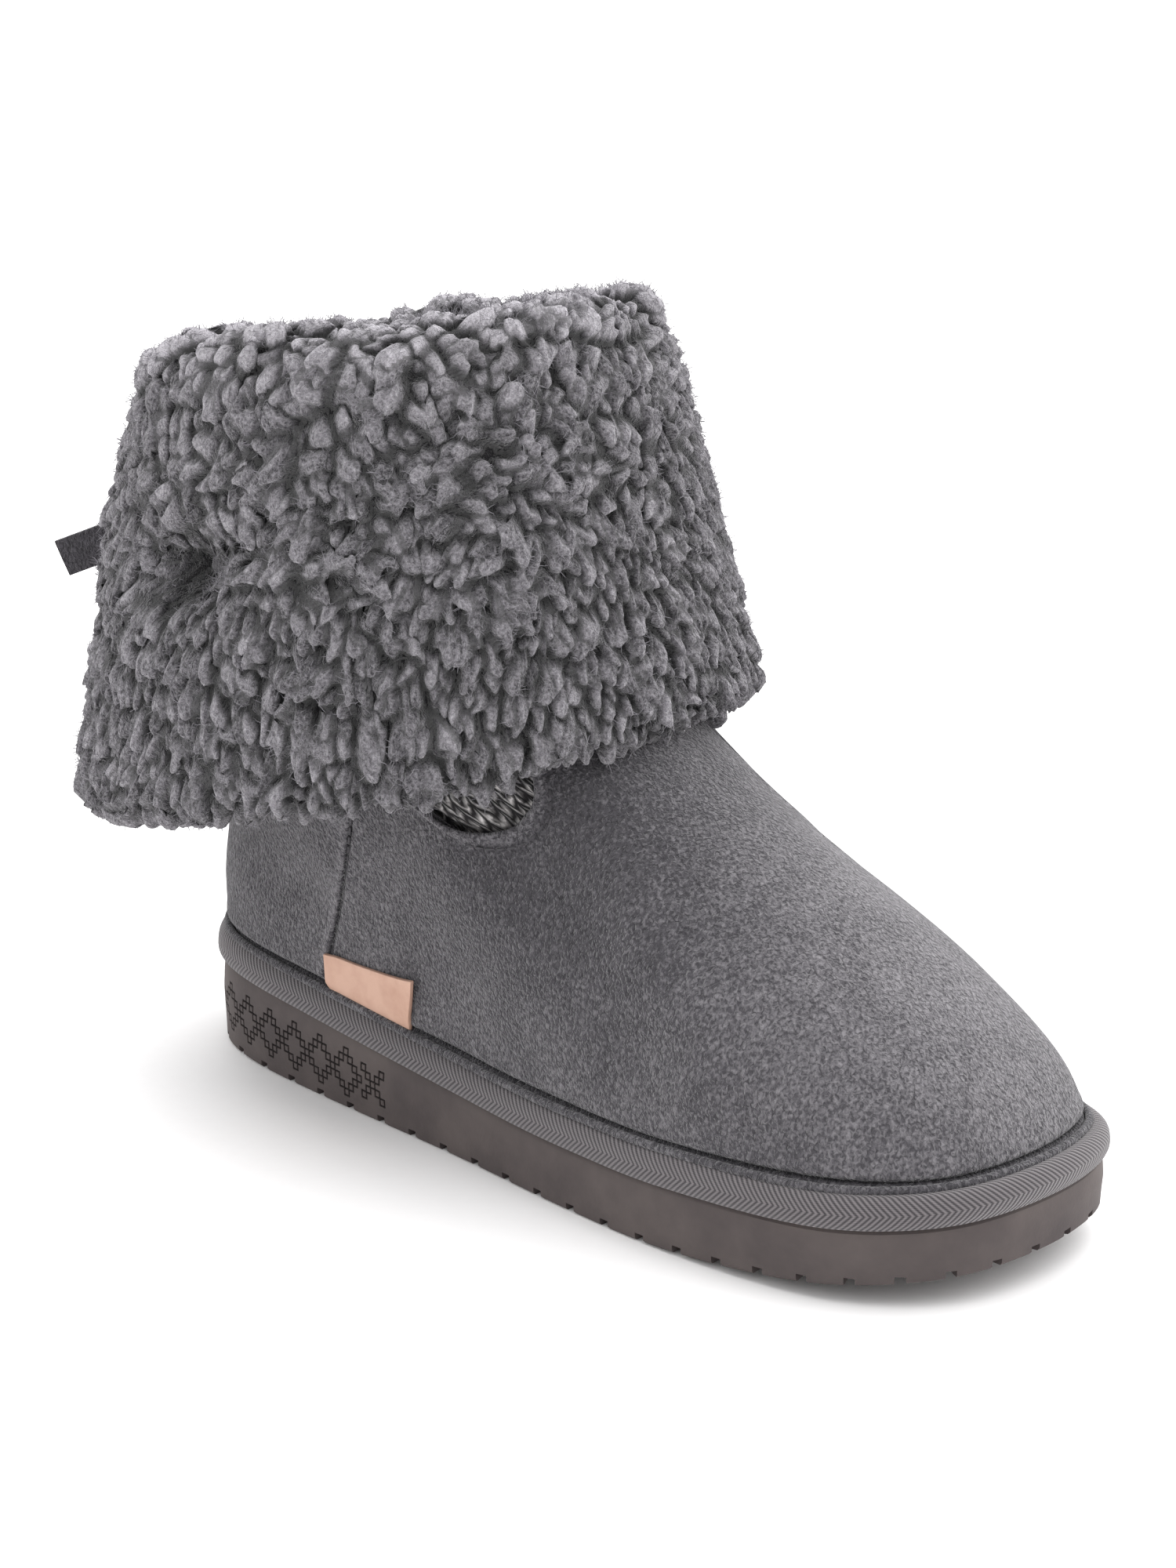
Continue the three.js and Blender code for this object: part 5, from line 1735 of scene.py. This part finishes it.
strips = [
    strip_points(strip_path(1), upright, 60),
    strip_points(strip_path(-1), upright, 60),
    strip_points(from_knot(LOOP_PATH, -1), level_way, 56),
    strip_points(from_knot(LOOP_PATH, 1), level_way, 56),
    strip_points(from_knot(LOOSE_END_PATH, -1), upright, 36),
    strip_points(from_knot(HANGING_END_PATH, 1), level_way, 36),
]
barrel = np.linspace(-1, 1, 24)
wrap_turn = np.linspace(0, 2 * np.pi, 49)
wrap_radius = KNOT_RADIUS * np.sqrt(np.maximum(0, 1 - abs(barrel) ** 3.2))
folds = 1 + 0.07 * np.cos(7 * barrel[:, None] * 2 + 2 * np.sin(wrap_turn)[None, :])
wrap = np.stack(
    [
        knot[0] + wrap_radius[:, None] * folds * np.cos(wrap_turn),
        np.broadcast_to(knot[1] + barrel[:, None] * KNOT_LENGTH / 2, folds.shape),
        knot[2] + wrap_radius[:, None] * folds * np.sin(wrap_turn),
    ],
    -1,
)
tie_parts = []
for part in strips + [wrap]:
    strand = grid_piece("tie_strand", part)
    close_seams(strand)
    face_outwards(strand)
    tie_parts.append(strand)
bpy.ops.object.select_all(action="DESELECT")
for strand in tie_parts:
    strand.select_set(True)
bpy.context.view_layer.objects.active = tie_parts[0]
bpy.ops.object.join()
tie = bpy.context.object
tie.name = tie.data.name = "suede_tie"
dress(tie, tie_suede, "suede", "tie")


# Tag: a bare tab of vegetable-tanned leather, cut with a slanted free end and sewn by its lower edge
# into the welt's seam, over the foot of the side seam.
TAG_LENGTH = 34.6
TAG_TOP = 41.7
TAG_FLARE = 2.6  # of the free corner above the other
TAG_SLANT = 3.6  # of the far end, which leans outwards
TAG_THICK = 1.2
TAG_FROM = 64.2
TAG_COLUMNS = 48
TAG_ROWS = 18


def form_at(x, z):
    """Turn and height above the sole's edge of the form's outer side at a place seen from the side."""
    up = z - FORM_BASE
    for _ in range(20):
        up = up + z - form_height(x, up)
    back, front = read_rows(FORM_SECTIONS, up)[:2]
    return np.arccos(1 - 2 * (x - back) / (front - back)), up


tag_share = np.linspace(0, 1, TAG_COLUMNS)[None, :]
tag_rise = np.linspace(0, 1, TAG_ROWS)[:, None]
tag_x = TAG_FROM + (TAG_LENGTH - TAG_SLANT + TAG_SLANT * tag_rise) * tag_share
tag_foot = sole_top(tag_x) + PIPING_UP - 0.2
tag_z = mix(tag_foot, TAG_TOP + TAG_FLARE * tag_share**2.4, tag_rise)
tag_turn, tag_up = form_at(tag_x, tag_z)
tag_lift = COUNTER_RISE * (1 - ease(tag_x, SEAM_FOOT[0] + 3, SEAM_FOOT[0] + 8)) + 2 * GAP
tag_lift = mix(-GAP, tag_lift, ease(tag_rise, 0, 0.35))
tag_lift = tag_lift + tag_rise**2 * (0.9 * ease(tag_share, 0.5, 1) + 0.4 * ease(1 - tag_share, 0.8, 1))
tag = grid_piece("leather_tag", form_face(tag_turn, tag_up, tag_lift + TAG_THICK))
apply_modifier(tag, "SOLIDIFY", thickness=TAG_THICK / 1000, offset=-1)
apply_modifier(tag, "BEVEL", width=0.00025, segments=2, limit_method="ANGLE")

# Vegetable-tanned leather: pinkish tan, matt, with a fine pore grain and faint browner stains.
LEATHER_TAN = "CAA592"
LEATHER_DEEP = "B58D79"
LEATHER_PORE = 0.0008  # coarser than life, to show
LEATHER_STAIN = 1 / 140  # of a metre from stain to stain
leather, tree, shader = new_material("veg_tanned_leather", Roughness=0.62, Specular_IOR_Level=0.35)
place = add_node(tree, "ShaderNodeTexCoord")
pore = add_node(
    tree, "ShaderNodeTexVoronoi", {"Vector": place.outputs["Object"], "Scale": 1 / LEATHER_PORE}
)
stain = add_node(
    tree, "ShaderNodeTexNoise", {"Vector": place.outputs["Object"], "Scale": 1 / LEATHER_STAIN, "Detail": 4}
)
stained = add_node(
    tree, "ShaderNodeMapRange", {"Value": stain.outputs["Fac"], "From Min": 0.45, "From Max": 0.85}
)
hide = add_node(
    tree,
    "ShaderNodeMix",
    {0: stained.outputs["Result"], 6: linear(LEATHER_TAN), 7: linear(LEATHER_DEEP)},
    data_type="RGBA",
)
pores = add_node(
    tree, "ShaderNodeBump", {"Height": pore.outputs["Distance"], "Strength": 0.25, "Distance": 0.0002}
)
tree.links.new(hide.outputs[2], shader.inputs["Base Color"])
tree.links.new(pores.outputs["Normal"], shader.inputs["Normal"])
dress(tag, leather, "tag_leather", "tag")


# Brings every object's placement up to date.
bpy.context.view_layer.update()
